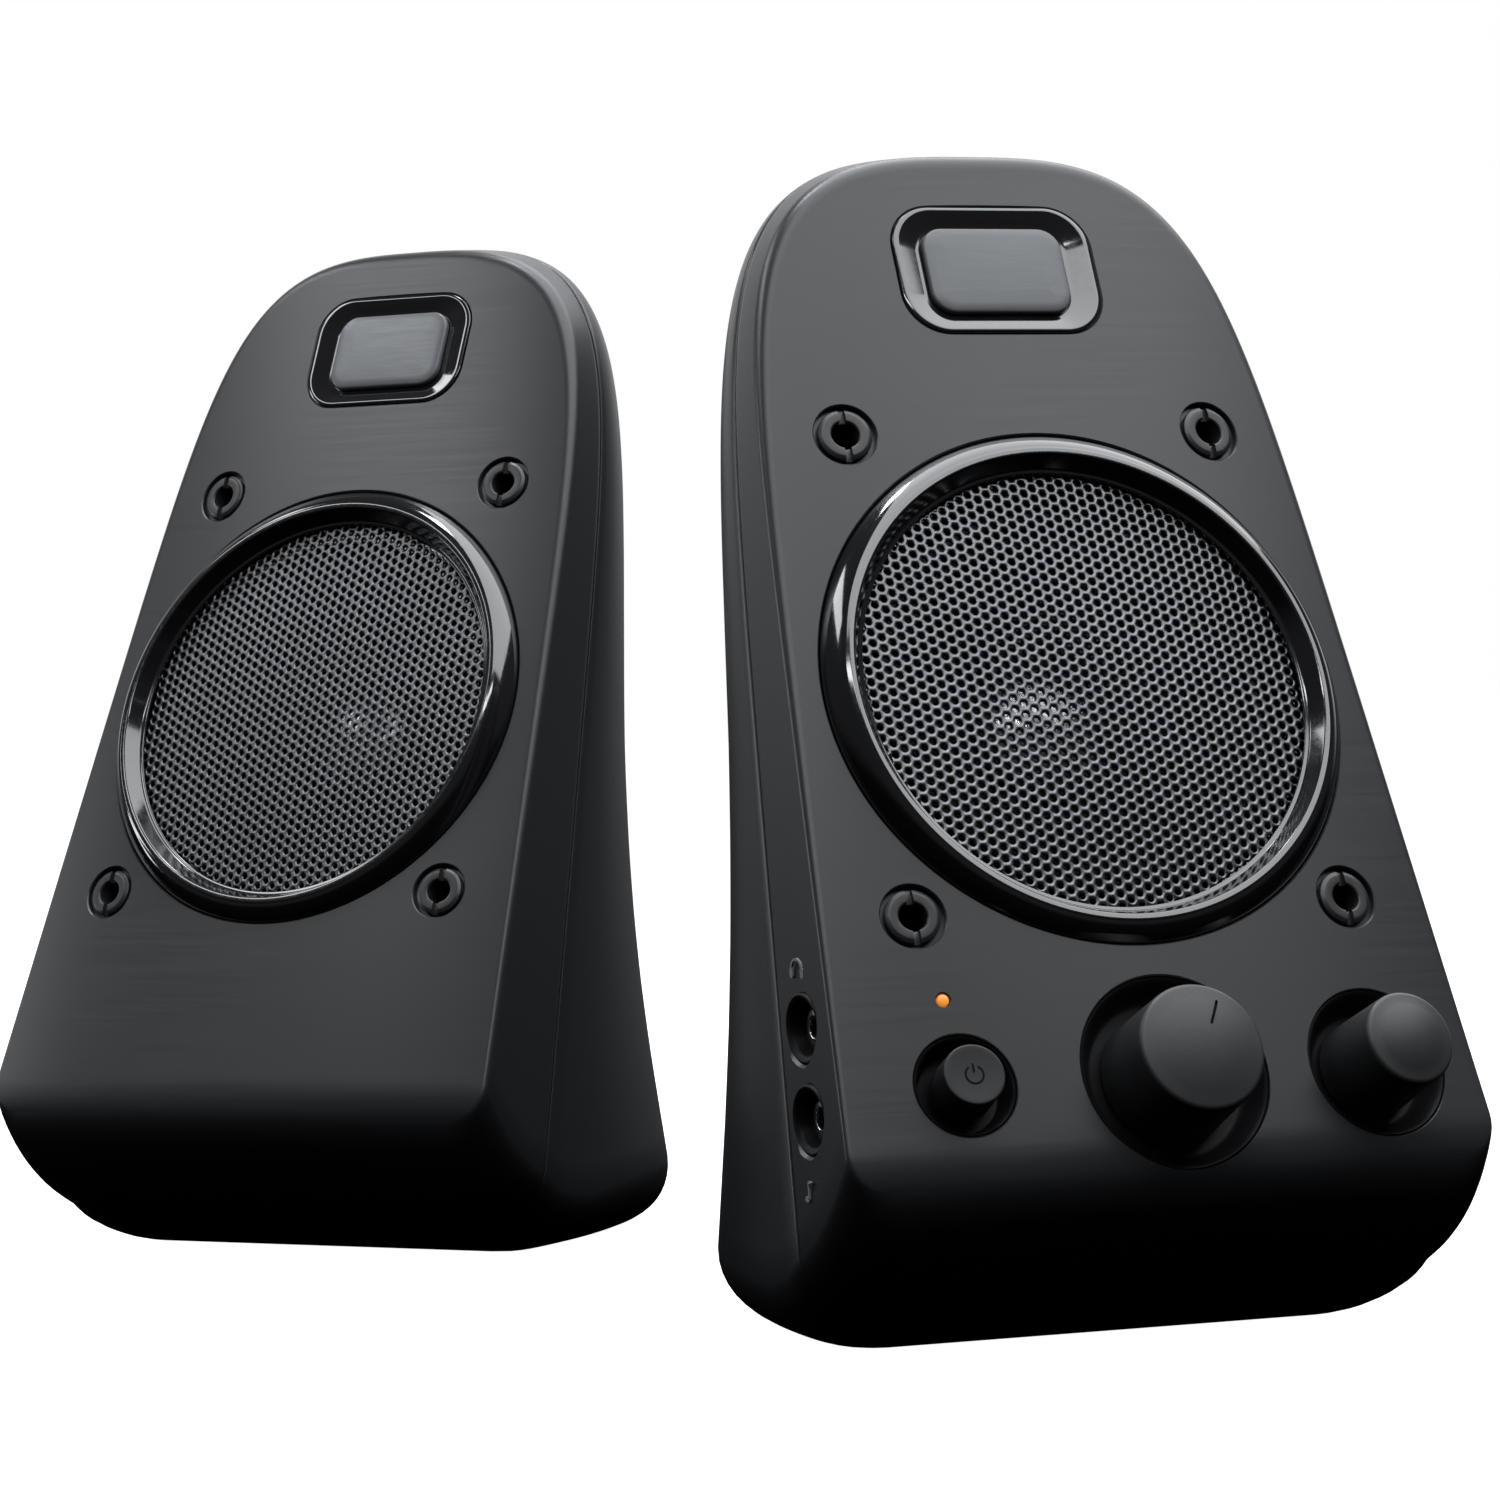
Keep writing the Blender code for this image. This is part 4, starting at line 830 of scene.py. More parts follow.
def mark_face(obj, side):
    """Write the mask: 1 on the face, fading to 0 where the edge has turned 2 mm behind it."""
    x, y, toe = SATELLITES[side]
    local = turned(places(obj.data) / MM - np.array([x, y, 0.0]), radians(-toe))
    u, v, w = to_face(local)
    behind = face_w(u, v) - w
    # Where the mask falls to 0, the plastic takes the painted shade of the sides.
    mask = obj.data.attributes.new("face", "FLOAT", "POINT")
    mask.data.foreach_set("value", gently((MASK_DEPTH - behind) / MASK_FADE))


fronts = []
for side in SATELLITES:
    here = partial(stand, side)
    patches = moved([mirrored(FRONT_ROWS)], here)
    shell = show(side + "_front_shell_skin", patches, CABINET_PLASTIC,
                 [side + "_front_shell"])
    tools = face_tools() + (control_tools() if side == "right" else [])
    carve(shell, moved(tools, here))
    mark_face(shell, side)
    fronts.append(shell)
tell("front trays", fronts)

# %% [markdown]
# The rear shell closes the cabinet. It starts at the seam with the tray's own section, bulges
# a little, and curls in to an upright spine with a tail near the desk. Each row is the same half
# outline, its width shrinking as a power of a cosine and its depth growing as a power of a
# sine, so the plan view is a superellipse that is squarer at the top. An outer and an inner
# sheet meet at the seam's edge, which makes the wall.

# %% The rear shells
BACK_Y = 62.0
TAIL = (29.2, 55.0, 1.5)
BACK_TOP_ROUND = 9.0
BACK_BASE_ROUND = 1.5
BACK_BULGE = 2.0
BACK_ROUND = (2.1, 2.3)
BACK_TURN = radians(82.5)
BACK_ROWS = 40
BASE_CORNER = np.array([17.0, 10.5])
FOOT = (64.0, 44.0, 12.0)
FOOT_FRONT_Y = 13.5
FOOT_MIDDLE_Y = 35.5
FOOT_POCKET = 1.1
GLAND_Z = 22.0
GLAND_RADIUS = 5.0


def back_y(z):
    """How far back the rear wall is: upright, plus a bell-shaped tail at the base."""
    length, height, power = TAIL
    return BACK_Y + length * np.exp(-((np.clip(z, 0.0, None) / height) ** power))


def rear_row(a, wall=0.0):
    """A half section at an angle round the plan, 0 at the seam and 90 degrees at the spine."""
    deep = sin(a) ** (2.0 / BACK_ROUND[0])
    wide = max(cos(a), 0.0) ** (2.0 / BACK_ROUND[0])
    start = seam_y(SEAM_LOW)
    y = start + (back_y(0.0) - start) * deep
    g = float(np.clip((y - start) / (FOOT_FRONT_Y + FOOT[2] - start), 0.0, 1.0))
    base = floor_z(y) + BACK_BASE_ROUND * (1.0 - wide) ** 2 + wall
    top = BODY_HEIGHT - BACK_TOP_ROUND * (1.0 - wide) - wall
    corner = HULL + (BASE_CORNER - HULL) * g
    x, z = half_outline(base, top, corner, SIDE_FLARE + BACK_BULGE * sin(2.0 * a))
    high = np.clip((z - 0.5 * BODY_HEIGHT) / (0.5 * BODY_HEIGHT), 0.0, 1.0)
    power = 2.0 / (BACK_ROUND[0] + (BACK_ROUND[1] - BACK_ROUND[0]) * high)
    reach = (back_y(z) - seam_y(z)) * sin(BACK_TURN) ** power - wall
    y = seam_y(z) + reach * sin(a) ** power
    x = x * (1.0 - wall / straight_half(z)) * max(cos(a), 0.0) ** power
    return np.stack([x, y, z], axis=-1)


def rear_rows():
    """Two sheets: the rounded seam edge round to the spine, and the inner wall back to it."""
    turns = np.linspace(0.0, 1.0, BACK_ROWS) ** 1.3 * 0.5 * pi
    along = np.array([0.0, 1.0, 0.0])
    seam = rear_row(0.0)
    inward = unit(rear_row(0.0, WALL) - seam)
    gap = along * 0.5 * SEAM_GAP * hypot(1.0, SEAM_SLOPE)
    edge = seam_turn(seam + gap, along, inward)[::-1]
    outside = [rear_row(a) for a in turns[3:]]
    inside = [rear_row(a, WALL) for a in turns[::-3]]
    inside[-1] = inside[-1] + gap
    return np.stack(edge + outside), np.stack(inside + edge[:1])


def spine_y(z):
    """How far back the spine is at a height, where the gland sits."""
    share = sin(BACK_TURN) ** (2.0 / BACK_ROUND[0])
    return float(seam_y(z) + (back_y(z) - seam_y(z)) * share)


def at_spine(points):
    """Points drawn flat, set square on the spine at the gland, h out of the back."""
    rise = 0.5 * (spine_y(GLAND_Z + 1.0) - spine_y(GLAND_Z - 1.0))
    turn = radians(-90.0) - atan(rise)
    a, b, h = np.moveaxis(points, -1, 0)
    y = b * cos(turn) - h * sin(turn)
    z = b * sin(turn) + h * cos(turn)
    return np.stack([a, y + spine_y(GLAND_Z), z + GLAND_Z], axis=-1)


def under_foot(points):
    """Points drawn flat at the origin, moved under the cabinet's base."""
    return points + np.array([0.0, FOOT_MIDDLE_Y, 0.0])


rears = []
for side in SATELLITES:
    here = partial(stand, side)
    patches = moved([mirrored(rows) for rows in rear_rows()], here)
    shell = show(side + "_rear_shell_skin", patches, CABINET_PLASTIC,
                 [side + "_rear_shell"])
    roof = FOOT_DROP + FOOT_POCKET
    pocket = border(*FOOT, [(40.0, -4.0), (-0.3, -4.0), (-0.3, roof), (40.0, roof)])
    hole = lathe(pin(GLAND_RADIUS + 0.3), 48)
    carve(shell, moved([pocket], under_foot, here) + moved([hole], at_spine, here))
    rears.append(shell)
tell("rear shells", rears)

# %% [markdown]
# The trim ring is glossy black plastic with a convex outer flank, a narrow crest and a
# funnel down to the grille. It is a lathe whose foot follows the bowed face, so the flank is
# taller at the left and the right. A groove behind the funnel takes the grille's edge.

# %% Trim rings
RING_LIP = RING_OUTER - 3.6
RING_THROAT = RING_LIP - 3.1
RING_SEAT = RING_THROAT - 2.7
RING_PROUD = 2.0
RING_DEPTH = 6.0
RING_GROOVE = RING_THROAT + 1.7
CREST = 0.5
CREST_DROP = 0.15
FLANK_ROWS = 16
FLANK_POWER = 1.4
GRILLE_TOP = -1.6
GRILLE_SHEET = 0.8


def trim_ring(steps=192):
    """A ring whose flank is a superellipse, nearly a bevel, on a foot that follows the bow."""
    t = np.linspace(0.0, 2.0 * pi, steps, endpoint=False)
    foot = face_w(RING_OUTER * np.cos(t), RING_OUTER * np.sin(t)) - 0.5
    s = np.linspace(0.0, 1.0, FLANK_ROWS)[:, None]
    flank_r = RING_LIP + CREST + (RING_OUTER - RING_LIP - CREST) * s
    fall = np.clip(1.0 - s**FLANK_POWER, 0.0, 1.0) ** (1.0 / FLANK_POWER)
    flank_w = foot + (RING_PROUD - CREST_DROP - foot) * fall
    floor = GRILLE_TOP - GRILLE_SHEET - 0.3
    ledge = GRILLE_TOP + 0.15
    back = [(RING_OUTER, -RING_DEPTH), (RING_SEAT, -RING_DEPTH), (RING_SEAT, floor)]
    back += [(RING_GROOVE, floor), (RING_GROOVE, ledge)]
    funnel = [(RING_THROAT, ledge), (RING_THROAT, GRILLE_TOP + 0.75)]
    funnel += [(RING_THROAT + 0.7, GRILLE_TOP + 0.85), (RING_LIP - 0.75, RING_PROUD - 0.04)]
    funnel += [(RING_LIP + 0.2, RING_PROUD), (RING_LIP + CREST, RING_PROUD - CREST_DROP)]
    rest = np.concatenate([back, soften(funnel, 0.3, 5)])
    r = np.concatenate([np.repeat(flank_r, steps, axis=1), np.repeat(rest[:, :1], steps, axis=1)])
    w = np.concatenate([flank_w, np.repeat(rest[:, 1:], steps, axis=1)])
    return polar(r, w, t).reshape(-1, 3), grid_faces(len(r), steps)


rings = both("_trim_ring_skin", "_trim_ring", [trim_ring()], on_face, GLOSS_BLACK)
tell("trim rings", rings)

# %% [markdown]
# The grille is punched steel: round holes on a hexagonal lattice. Cutting some fourteen hundred
# holes with Booleans would be slow, so every lattice cell is made whole, as twelve quads
# between a hexagon and its hole. Neighbours share their borders exactly and weld together,
# and a Solidify modifier gives the sheet its thickness. The ragged rim hides in the groove.

# %% Grilles
GRILLE_PITCH = 1.95
GRILLE_HOLE = 0.61
GRILLE_DOME = 1.2
GRILLE_THICK = 0.7
CELL = 12


def face_axis(side):
    """Two points on a satellite's driver axis, the second one millimetre out of the face."""
    return stand(side, on_face(np.array([[0.0, 0.0, 0.0], [0.0, 0.0, 1.0]])))


def punched_sheet(radius):
    """Hexagonal cells within a radius, on a dome that falls with the radius squared: border
    points alternate between mid-side and corner."""
    count = 2 * (int(radius / GRILLE_PITCH) + 2)
    line = np.arange(-count, count + 1)
    row, column = np.meshgrid(line, line, indexing="ij")
    v = (column + 0.5 * (row % 2)) * GRILLE_PITCH
    u = row * GRILLE_PITCH * 0.5 * sqrt(3.0)
    centre = np.stack([u, v], axis=-1)[np.hypot(u, v) <= radius]
    k = np.arange(CELL)
    angle = np.radians(30.0 * k)
    border_r = np.where(k % 2, GRILLE_PITCH / sqrt(3.0), 0.5 * GRILLE_PITCH)
    around = np.stack([np.sin(angle), np.cos(angle)], axis=-1)
    cell = np.stack([around * border_r[:, None], around * GRILLE_HOLE], axis=0)
    flat = centre[:, None, None, :] + cell[None]
    far = np.linalg.norm(flat, axis=-1, keepdims=True) / RING_THROAT
    high = GRILLE_TOP + GRILLE_DOME * np.clip(1.0 - far**2, 0.0, 1.0)
    points = np.concatenate([flat, high], axis=-1).reshape(-1, 3)
    quad = np.stack([k, (k + 1) % CELL, (k + 1) % CELL + CELL, k + CELL], axis=-1)
    faces = quad[None] + 2 * CELL * np.arange(len(centre))[:, None, None]
    return points, faces.reshape(-1, 4)


patches = [punched_sheet(RING_THROAT + 0.2)]
grilles = both("_grille_mesh", "_grille", patches, on_face, GRILLE_METAL)
for side, sheet in zip(SATELLITES, grilles):
    if np.array(sheet.data.polygons[0].normal) @ np.diff(face_axis(side), axis=0)[0] < 0.0:
        sheet.data.flip_normals()
    thick = sheet.modifiers.new("Sheet", "SOLIDIFY")
    thick.thickness = GRILLE_THICK * MM
    thick.offset = -1.0
tell("grilles", grilles)

# %% [markdown]
# The badge is two mouldings in a pocket of the face: a gloss black funnel and a satin plate
# with a pillow top. Both are a short profile carried round a rectangle with soft corners. The
# plate's profile runs on to the middle, where the grid closes in a line.

# %% Badges
WINDOW = (0.571 * RING_OUTER, 0.362 * RING_OUTER, 0.092 * RING_OUTER)
BADGE_LOW = -BADGE_POCKET + 0.25
BEZEL_WIDTH = 3.6
PLATE_GAP = 0.25
PLATE_EDGE = (1.2, 0.22)
PILLOW = 0.18


def badge_bezel():
    """Rows from the outline to the window: up the outside, over a rim, down to a groove."""
    corners = [(0.0, BADGE_LOW), (0.0, 0.12), (0.55, 0.32), (3.1, -0.8)]
    corners += [(BEZEL_WIDTH, -0.92), (BEZEL_WIDTH, BADGE_LOW)]
    inset, h = soften(corners, [0.0, 0.2, 0.3, 0.4, 0.1, 0.0], 5, closed=True).T
    wide, tall, bend = (
        outer + (inner - outer) * inset / BEZEL_WIDTH for outer, inner in zip(BEZEL, WINDOW)
    )
    return soft_frames(0.5 * wide, 0.5 * tall, bend, h, 14)


def badge_plate():
    """Up a straight side, round a soft shoulder and over a parabolic pillow to the middle."""
    wide, tall = WINDOW[0] - 2.0 * PLATE_GAP, WINDOW[1] - 2.0 * PLATE_GAP
    half = 0.5 * tall
    inset, rise = PLATE_EDGE
    s = np.linspace(0.0, 1.0, 12)[1:]
    top = np.stack([inset + (half - inset) * s, rise + PILLOW * (1.0 - (1.0 - s) ** 2)], axis=-1)
    side = [(half, BADGE_LOW), (0.0, BADGE_LOW), (0.0, 0.0), PLATE_EDGE]
    edge = soften(side, [0.0, 0.1, 0.8, 0.0], 6)
    return border(wide, tall, WINDOW[2] - PLATE_GAP, np.concatenate([edge, top]), 14)


badges = []
for node, patch, look, slot in (
    ("_badge_bezel", badge_bezel(), GLOSS_BLACK, "gloss_black"),
    ("_badge_plate", badge_plate(), SATIN_GREY, "satin_grey"),
):
    badges += both(node + "_skin", node, [patch], partial(bowed, v=BADGE_V), look)
tell("badges", badges)

# %% [markdown]
# Four slotted collars hold the front on. Each is a black bush sunk in a stepped hole: two half
# discs with a bevelled rim, parted by an upright slit, on a flat base with a deep bore. The half
# discs are fan rings, which stop at a straight cut, so the slit keeps one width.

# %% Collars
COLLAR_BORE = 2.3
COLLAR_LENGTH = 6.0
COLLAR_SLIT = 1.2


def collar():
    """A turned bush with two half discs on it."""
    low = -COLLAR_RECESS + 0.25
    end = low - COLLAR_LENGTH
    ledge = low + 0.12
    top = low + 1.1
    bush = [(COLLAR_BORE, ledge), (COLLAR_FLANGE, ledge), (COLLAR_FLANGE, low)]
    bush += [(COLLAR_SHANK, low), (COLLAR_SHANK, end), (COLLAR_BORE, end)]
    patches = [lathe(soften(bush, 0.08, 2, closed=True), 48)]
    rim = [(COLLAR_BORE, ledge - 0.05), (COLLAR_FLANGE, ledge - 0.05), (COLLAR_FLANGE, top - 0.35)]
    rim += [(COLLAR_FLANGE - 0.7, top), (COLLAR_BORE + 0.25, top), (COLLAR_BORE, top - 0.25)]
    disc = soften(rim, 0.18, 4, closed=True)
    turns = (-0.5 * pi, 0.5 * pi)
    return patches + [fan_ring(disc, 0.5 * COLLAR_SLIT, turn) for turn in turns]


collars = []
for place, (u, v) in collar_spots().items():
    node = "_" + place + "_collar"
    spot = partial(at_spot, u, v)
    collars += both(node + "_skin", node, collar(), spot, COLLAR_SATIN)
tell("collars", collars)

# %% [markdown]
# Behind the grille the driver shows through the holes: a paper cone, a rubber half roll and a
# bright cap that glints. The cone and cap are lathes that ride the moving diaphragm. The roll
# spans the gap between the cone and the basket, and the cloth spider sits at the coil; both are
# lathes baked into place that ride no body.

# %% Drivers
CONE_RADIUS = RING_SEAT - 0.9 - 0.4 - 3.4 - 0.6
CONE_DEPTH = 0.41 * CONE_RADIUS
CONE_BOW = 2.4
CONE_FLANGE = 2.0
BASKET_STEP = -RING_DEPTH - 0.3 - 2.6
BASKET_SHELF = -RING_DEPTH - 0.3 - 0.8525 * CONE_RADIUS
CONE_NECK = 0.3016 * CONE_RADIUS + 1.1
SPIDER_RIM = CONE_NECK + 0.4557 * CONE_RADIUS
CAP_RADIUS = 0.41 * CONE_RADIUS
CAP_RISE = 6.3
CAP_WALL = 0.6
ROLL_RISE = 2.7
SHEET = 0.8


def cone_w(s):
    """The cone's height at a share of the way from neck to edge: a line less a parabola."""
    return BASKET_STEP - CONE_DEPTH * (1.0 - s) - CONE_BOW * s * (1.0 - s)


def cone_and_cap():
    """The cone's wall with a flange at its edge, and a cap as part of an ellipse."""
    edge = BASKET_STEP
    s = np.linspace(0.0, 1.0, 24)
    slope = CONE_RADIUS - CONE_FLANGE - CONE_NECK
    front = np.stack([CONE_NECK + slope * s, cone_w(s)], axis=-1)
    flange = [(CONE_RADIUS, edge), (CONE_RADIUS, edge - SHEET), (CONE_RADIUS - 1.8, edge - SHEET)]
    behind = (front + np.array([0.3, -1.15]))[::-1][1:]
    cone = np.concatenate([front, flange, behind, front[:1]])
    seat = cone_w((CAP_RADIUS - CONE_NECK) / slope) + 0.35
    a = np.linspace(0.5 * pi, 0.0, 20)
    around = np.stack([np.cos(a), np.sin(a)], axis=-1)
    around[0, 0] = 0.0
    dome = around * [CAP_RADIUS, CAP_RISE] + [0.0, seat]
    thin = around[::-1] * [CAP_RADIUS - CAP_WALL, CAP_RISE - CAP_WALL] + [0.0, seat]
    return cone, np.concatenate([dome, thin])


def roll_profile():
    """A half roll between two flanges: an arch over the gap from the cone to the basket."""
    low = BASKET_STEP + 0.3
    high = low + SHEET
    a = np.linspace(pi, 0.0, 16)
    around = np.stack([np.cos(a), np.sin(a)], axis=-1)
    middle = CONE_RADIUS + 0.6 + 1.7
    upper = around * [2.1, ROLL_RISE] + [middle, high]
    lower = around[::-1] * [1.3, ROLL_RISE] + [middle, low]
    inner = CONE_RADIUS - 1.8
    rim = CONE_RADIUS + 6.2
    ends = [(rim, high), (rim, low)]
    return np.concatenate([[(inner, high)], upper, ends, lower, [(inner, low), (inner, high)]])


def spider_profile():
    """Corrugated cloth: a cosine wave across the radius, with a constant thickness."""
    s = np.linspace(0.0, 1.0, 41)
    r = CONE_NECK + (SPIDER_RIM - 0.3 - CONE_NECK) * s
    base = BASKET_SHELF + 0.3 + 0.6 * (1.0 - np.cos(8.0 * pi * s))
    upper = np.stack([r, base + 0.7], axis=-1)
    lower = np.stack([r, base], axis=-1)[::-1]
    return np.concatenate([upper, lower, upper[:1]])


def stretch(name, side, profile, look, slot, node, inner, outer):
    """A soft ring between the diaphragm and the cabinet, a lathe baked into place that rides no
    body.
    """
    patches = moved([lathe(profile, 64)], on_face, partial(stand, side))
    obj = show(name, patches, look, [node], body=None)
    axis = face_axis(side) * MM
    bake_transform(obj)
    offset = places(obj.data) - axis[0]
    return obj


drivers = []
cone, cap = cone_and_cap()
for node, profile, look, slot in (
    ("_cone", cone, CONE_PAPER, "cone_paper"),
    ("_dust_cap", cap, BRIGHT_ALLOY, "bright_alloy"),
):
    patches = [lathe(profile, 72)]
    drivers += both(node + "_skin", node, patches, on_face, look, "_diaphragm")
for side in SATELLITES:
    drivers.append(stretch(side + "_half_roll", side, roll_profile(), ROLL_RUBBER, "rubber",
                           side + "_surround", CONE_RADIUS + 0.2, CONE_RADIUS + 4.4))
    drivers.append(stretch(side + "_spider_cloth", side, spider_profile(), SPIDER_CLOTH,
                           "spider_cloth", side + "_spider", CONE_NECK + 0.5, SPIDER_RIM - 0.8))
tell("drivers", drivers)

# %% [markdown]
# The controls sit in round wells on the right satellite. A well is a concave black dish, a knob
# a turned cap with a soft shoulder, and the power key a smaller cap that slides. The wells reach
# the rounding of the bottom lip, so their rims dip with it there.

# %% Wells, knobs and power key
KNOB = {"volume": (DISH["volume"] - 5.0, 12.0), "bass": (DISH["bass"] - 4.15, 12.0)}
KNOB_DOME = 1.0
KNOB_BORE = (3.3, 8.0)
POWER_CAP = DISH["power"] - 3.15
POWER_RISE = 5.0
POWER_STEM = (2.4, 2.2)
DISH_SINK = 0.35
DISH_FLOOR = -DISH_SINK - 4.4
STEM = 2.9
BUSH = 5.1


def lip_dip(v):
    """How far the lip's roll has fallen at a height v: its Bezier solved for v, then w."""
    t = np.linspace(0.5, 0.0, 40)
    face, chin = lip_axes()
    level = FACE_LIP_V + LIP_ROLL * ((1.0 - t) ** 2 + t**2 * (chin @ face))
    fall = LIP_ROLL * t**2 * (chin @ np.array([-face[1], face[0]]))
    return np.interp(v, level, fall)


def well(radius, hole):
    """A lathe of a rim, a concave bowl and a flat floor, with the rim pressed to the lip."""
    rim = -DISH_SINK - 0.25
    s = np.linspace(0.0, 1.0, 12)
    bowl_r = radius - 0.5 - (2.9 if radius > 10.0 else 1.4) * s
    bowl_w = rim + (DISH_FLOOR - rim) * np.sin(0.5 * pi * s) ** 1.1
    bowl = np.stack([bowl_r, bowl_w], axis=-1)
    back = [(hole, DISH_FLOOR), (hole, DISH_FLOOR - 1.2), (radius, DISH_FLOOR - 1.2)]
    edge = [(radius, -DISH_SINK - 0.2), (radius - 0.2, -DISH_SINK), bowl[0]]
    points, quads = lathe(np.concatenate([bowl, back, edge]), 96)
    weight = np.clip((points[:, 2] - DISH_FLOOR) / (-DISH_SINK - DISH_FLOOR), 0.0, 1.0)
    points[:, 2] += lip_dip(CONTROL_V + points[:, 1]) * weight
    return points, quads


def knob(radius, rise):
    """A slightly tapered side, a soft shoulder and a parabolic crown, hollow for its shaft."""
    low = DISH_FLOOR + 0.5
    bore, depth = KNOB_BORE
    s = np.linspace(0.0, 1.0, 10)
    crown_line = np.stack([(radius - 2.2) * s, rise - KNOB_DOME * s**2], axis=-1)
    corners = [crown_line[-1], (radius - 0.45, rise - 1.3), (radius, low)]
    corners += [(bore, low), (bore, low + depth), (0.0, low + depth)]
    side = soften(corners, [0.0, 2.0, 0.3, 0.1, 0.1, 0.0], 8)
    return np.concatenate([crown_line[:-1], side])


def power_key():
    """A short cap with a dished top on a slim stem."""
    low = DISH_FLOOR + 2.0
    stem, below = POWER_STEM
    s = np.linspace(0.0, 1.0, 8)
    dish_line = np.stack([(POWER_CAP - 1.0) * s, POWER_RISE - 0.25 + 0.12 * s**2], axis=-1)
    corners = [dish_line[-1], (POWER_CAP - 0.15, POWER_RISE - 0.1), (POWER_CAP, low)]
    corners += [(stem, low), (stem, DISH_FLOOR - below), (0.0, DISH_FLOOR - below)]
    side = soften(corners, [0.0, 1.0, 0.3, 0.1, 0.2, 0.0], 7)
    return np.concatenate([dish_line[:-1], side])


def control(name, points):
    """A control's own points set on the face of the right satellite."""
    return stand("right", at_spot(CONTROL_U[name], CONTROL_V, points))


controls = []
for name, radius in DISH.items():
    patches = moved([well(radius, STEM if name == "power" else BUSH)], partial(control, name))
    controls.append(show(name + "_well", patches, WELL_BLACK, [name + "_dish"]))
for name, size in KNOB.items():
    patches = moved([lathe(knob(*size), 96)], partial(control, name))
    controls.append(show(name + "_knob_skin", patches, KNOB_SKIN,
                         [name + "_knob"], name + "_control"))
patches = moved([lathe(power_key(), 72)], partial(control, "power"))
controls.append(show("power_key_skin", patches, KEY_SKIN,
                     ["power_button"], "power_key"))
tell("controls", controls)

# %% [markdown]
# Small marks tell a hand what the controls do: a pointer groove on the volume knob and the
# common power sign on the key. The groove is cut and a near-black strip lies on its floor, as
# painted shade that makes the groove read as a dark line. The printed sign is a thin raised
# film built from bars and arcs, as those beside the jacks will be.

# %% Marks
FILM = (-0.3, 0.05)
POINTER = (0.5, 4.6, 0.2)
# The strip of painted shade that lies on the groove's floor.
POINTER_SHADE_STRIP = (0.46, 4.56, 0.18)
POINTER_TURN = radians(-28.0)
SIGN_LINE = 0.34


def bar(width, height, corner, middle=(0.0, 0.0), turn=0.0, low=FILM[0], high=FILM[1]):
    """A thin closed bar with round corners, turned about its own origin."""
    half = 0.5 * width
    profile = [(half, low), (0.0, low), (0.0, high), (half, high)]
    points, quads = border(width, height, corner, profile, 4)
    return turned(points + np.array([middle[0], middle[1], 0.0]), turn), quads


def arc(radius, width, turn, sweep):
    """A thin closed arc of a band."""
    low, high = FILM
    inner = radius - 0.5 * width
    outer = radius + 0.5 * width
    profile = [(inner, low), (outer, low), (outer, high), (inner, high), (inner, low)]
    return fan_ring(profile, 0.0, turn, sweep, 32)


def pointer(size, low, high):
    """A bar in the volume knob's top, from one depth to another measured from its crown."""
    radius, top = KNOB["volume"]
    block = bar(*size, (0.0, radius - 5.0), POINTER_TURN, top + low, top + high)
    return moved([block], partial(control, "volume"))


carve(bpy.data.objects["volume_knob_skin"], pointer(POINTER, -1.35, 1.0))
# A near-black strip on the groove's floor paints the shade in the groove.
marks = [show("volume_pointer", pointer(POINTER_SHADE_STRIP, -1.42, -1.22), GROOVE_SHADE_BLACK,
              body="volume_control")]
sign = [arc(1.45, SIGN_LINE, radians(120.0), radians(300.0)),
        bar(SIGN_LINE, 1.5, 0.15, (0.0, 1.1))]
lift = np.array([0.0, 0.0, POWER_RISE - 0.23])
sign = moved(sign, lambda points: points + lift, partial(control, "power"))
marks.append(show("power_sign", sign, KEY_INK, body="power_key"))
tell("marks", marks)

# %% [markdown]
# Two jacks open in the side wall. Each is a round black cup with a bright bush at the bottom, the
# glint that shows in the recess, and a headphone or a note is printed beside it. The indicator
# is an amber light pipe, domed where it meets the face.

# %% Jacks, their signs and the indicator
JACK_CUP = 4.4
JACK_FLOOR = -3.2
JACK_BORE = 1.8
JACK_END = -12.0
LED_END = -16.5


def jack_cup():
    """A turned cup: a rounded lip, a cone down to the floor and a straight bore."""
    corners = [(JACK_BORE, JACK_FLOOR), (JACK_CUP - 0.5, JACK_FLOOR), (JACK_CUP, -0.45)]
    corners += [(JACK_RADIUS - 0.25, 0.0), (JACK_RADIUS, -0.4), (JACK_RADIUS, JACK_END)]
    corners += [(JACK_BORE, JACK_END)]
    return soften(corners, [0.0, 0.5, 0.5, 0.25, 0.2, 0.2, 0.0], 4, closed=True)


def jack_bush():
    """A bright turned bush round the bore, standing proud of the cup's floor."""
    corners = [(1.75, JACK_FLOOR - 0.6), (1.75, JACK_FLOOR + 1.0)]
    corners += [(2.9, JACK_FLOOR + 0.8), (2.9, JACK_FLOOR - 0.05)]
    return soften(corners, 0.2, 4, closed=True)


def light_pipe():
    """A rod whose end is a quarter of an ellipse turned about its axis."""
    a = np.linspace(0.5 * pi, 0.0, 8)
    dome = np.stack([LED_RADIUS * np.cos(a), -0.25 + 0.32 * np.sin(a)], axis=-1)
    dome[0, 0] = 0.0
    return np.concatenate([dome, [(LED_RADIUS, LED_END), (0.0, LED_END)]])


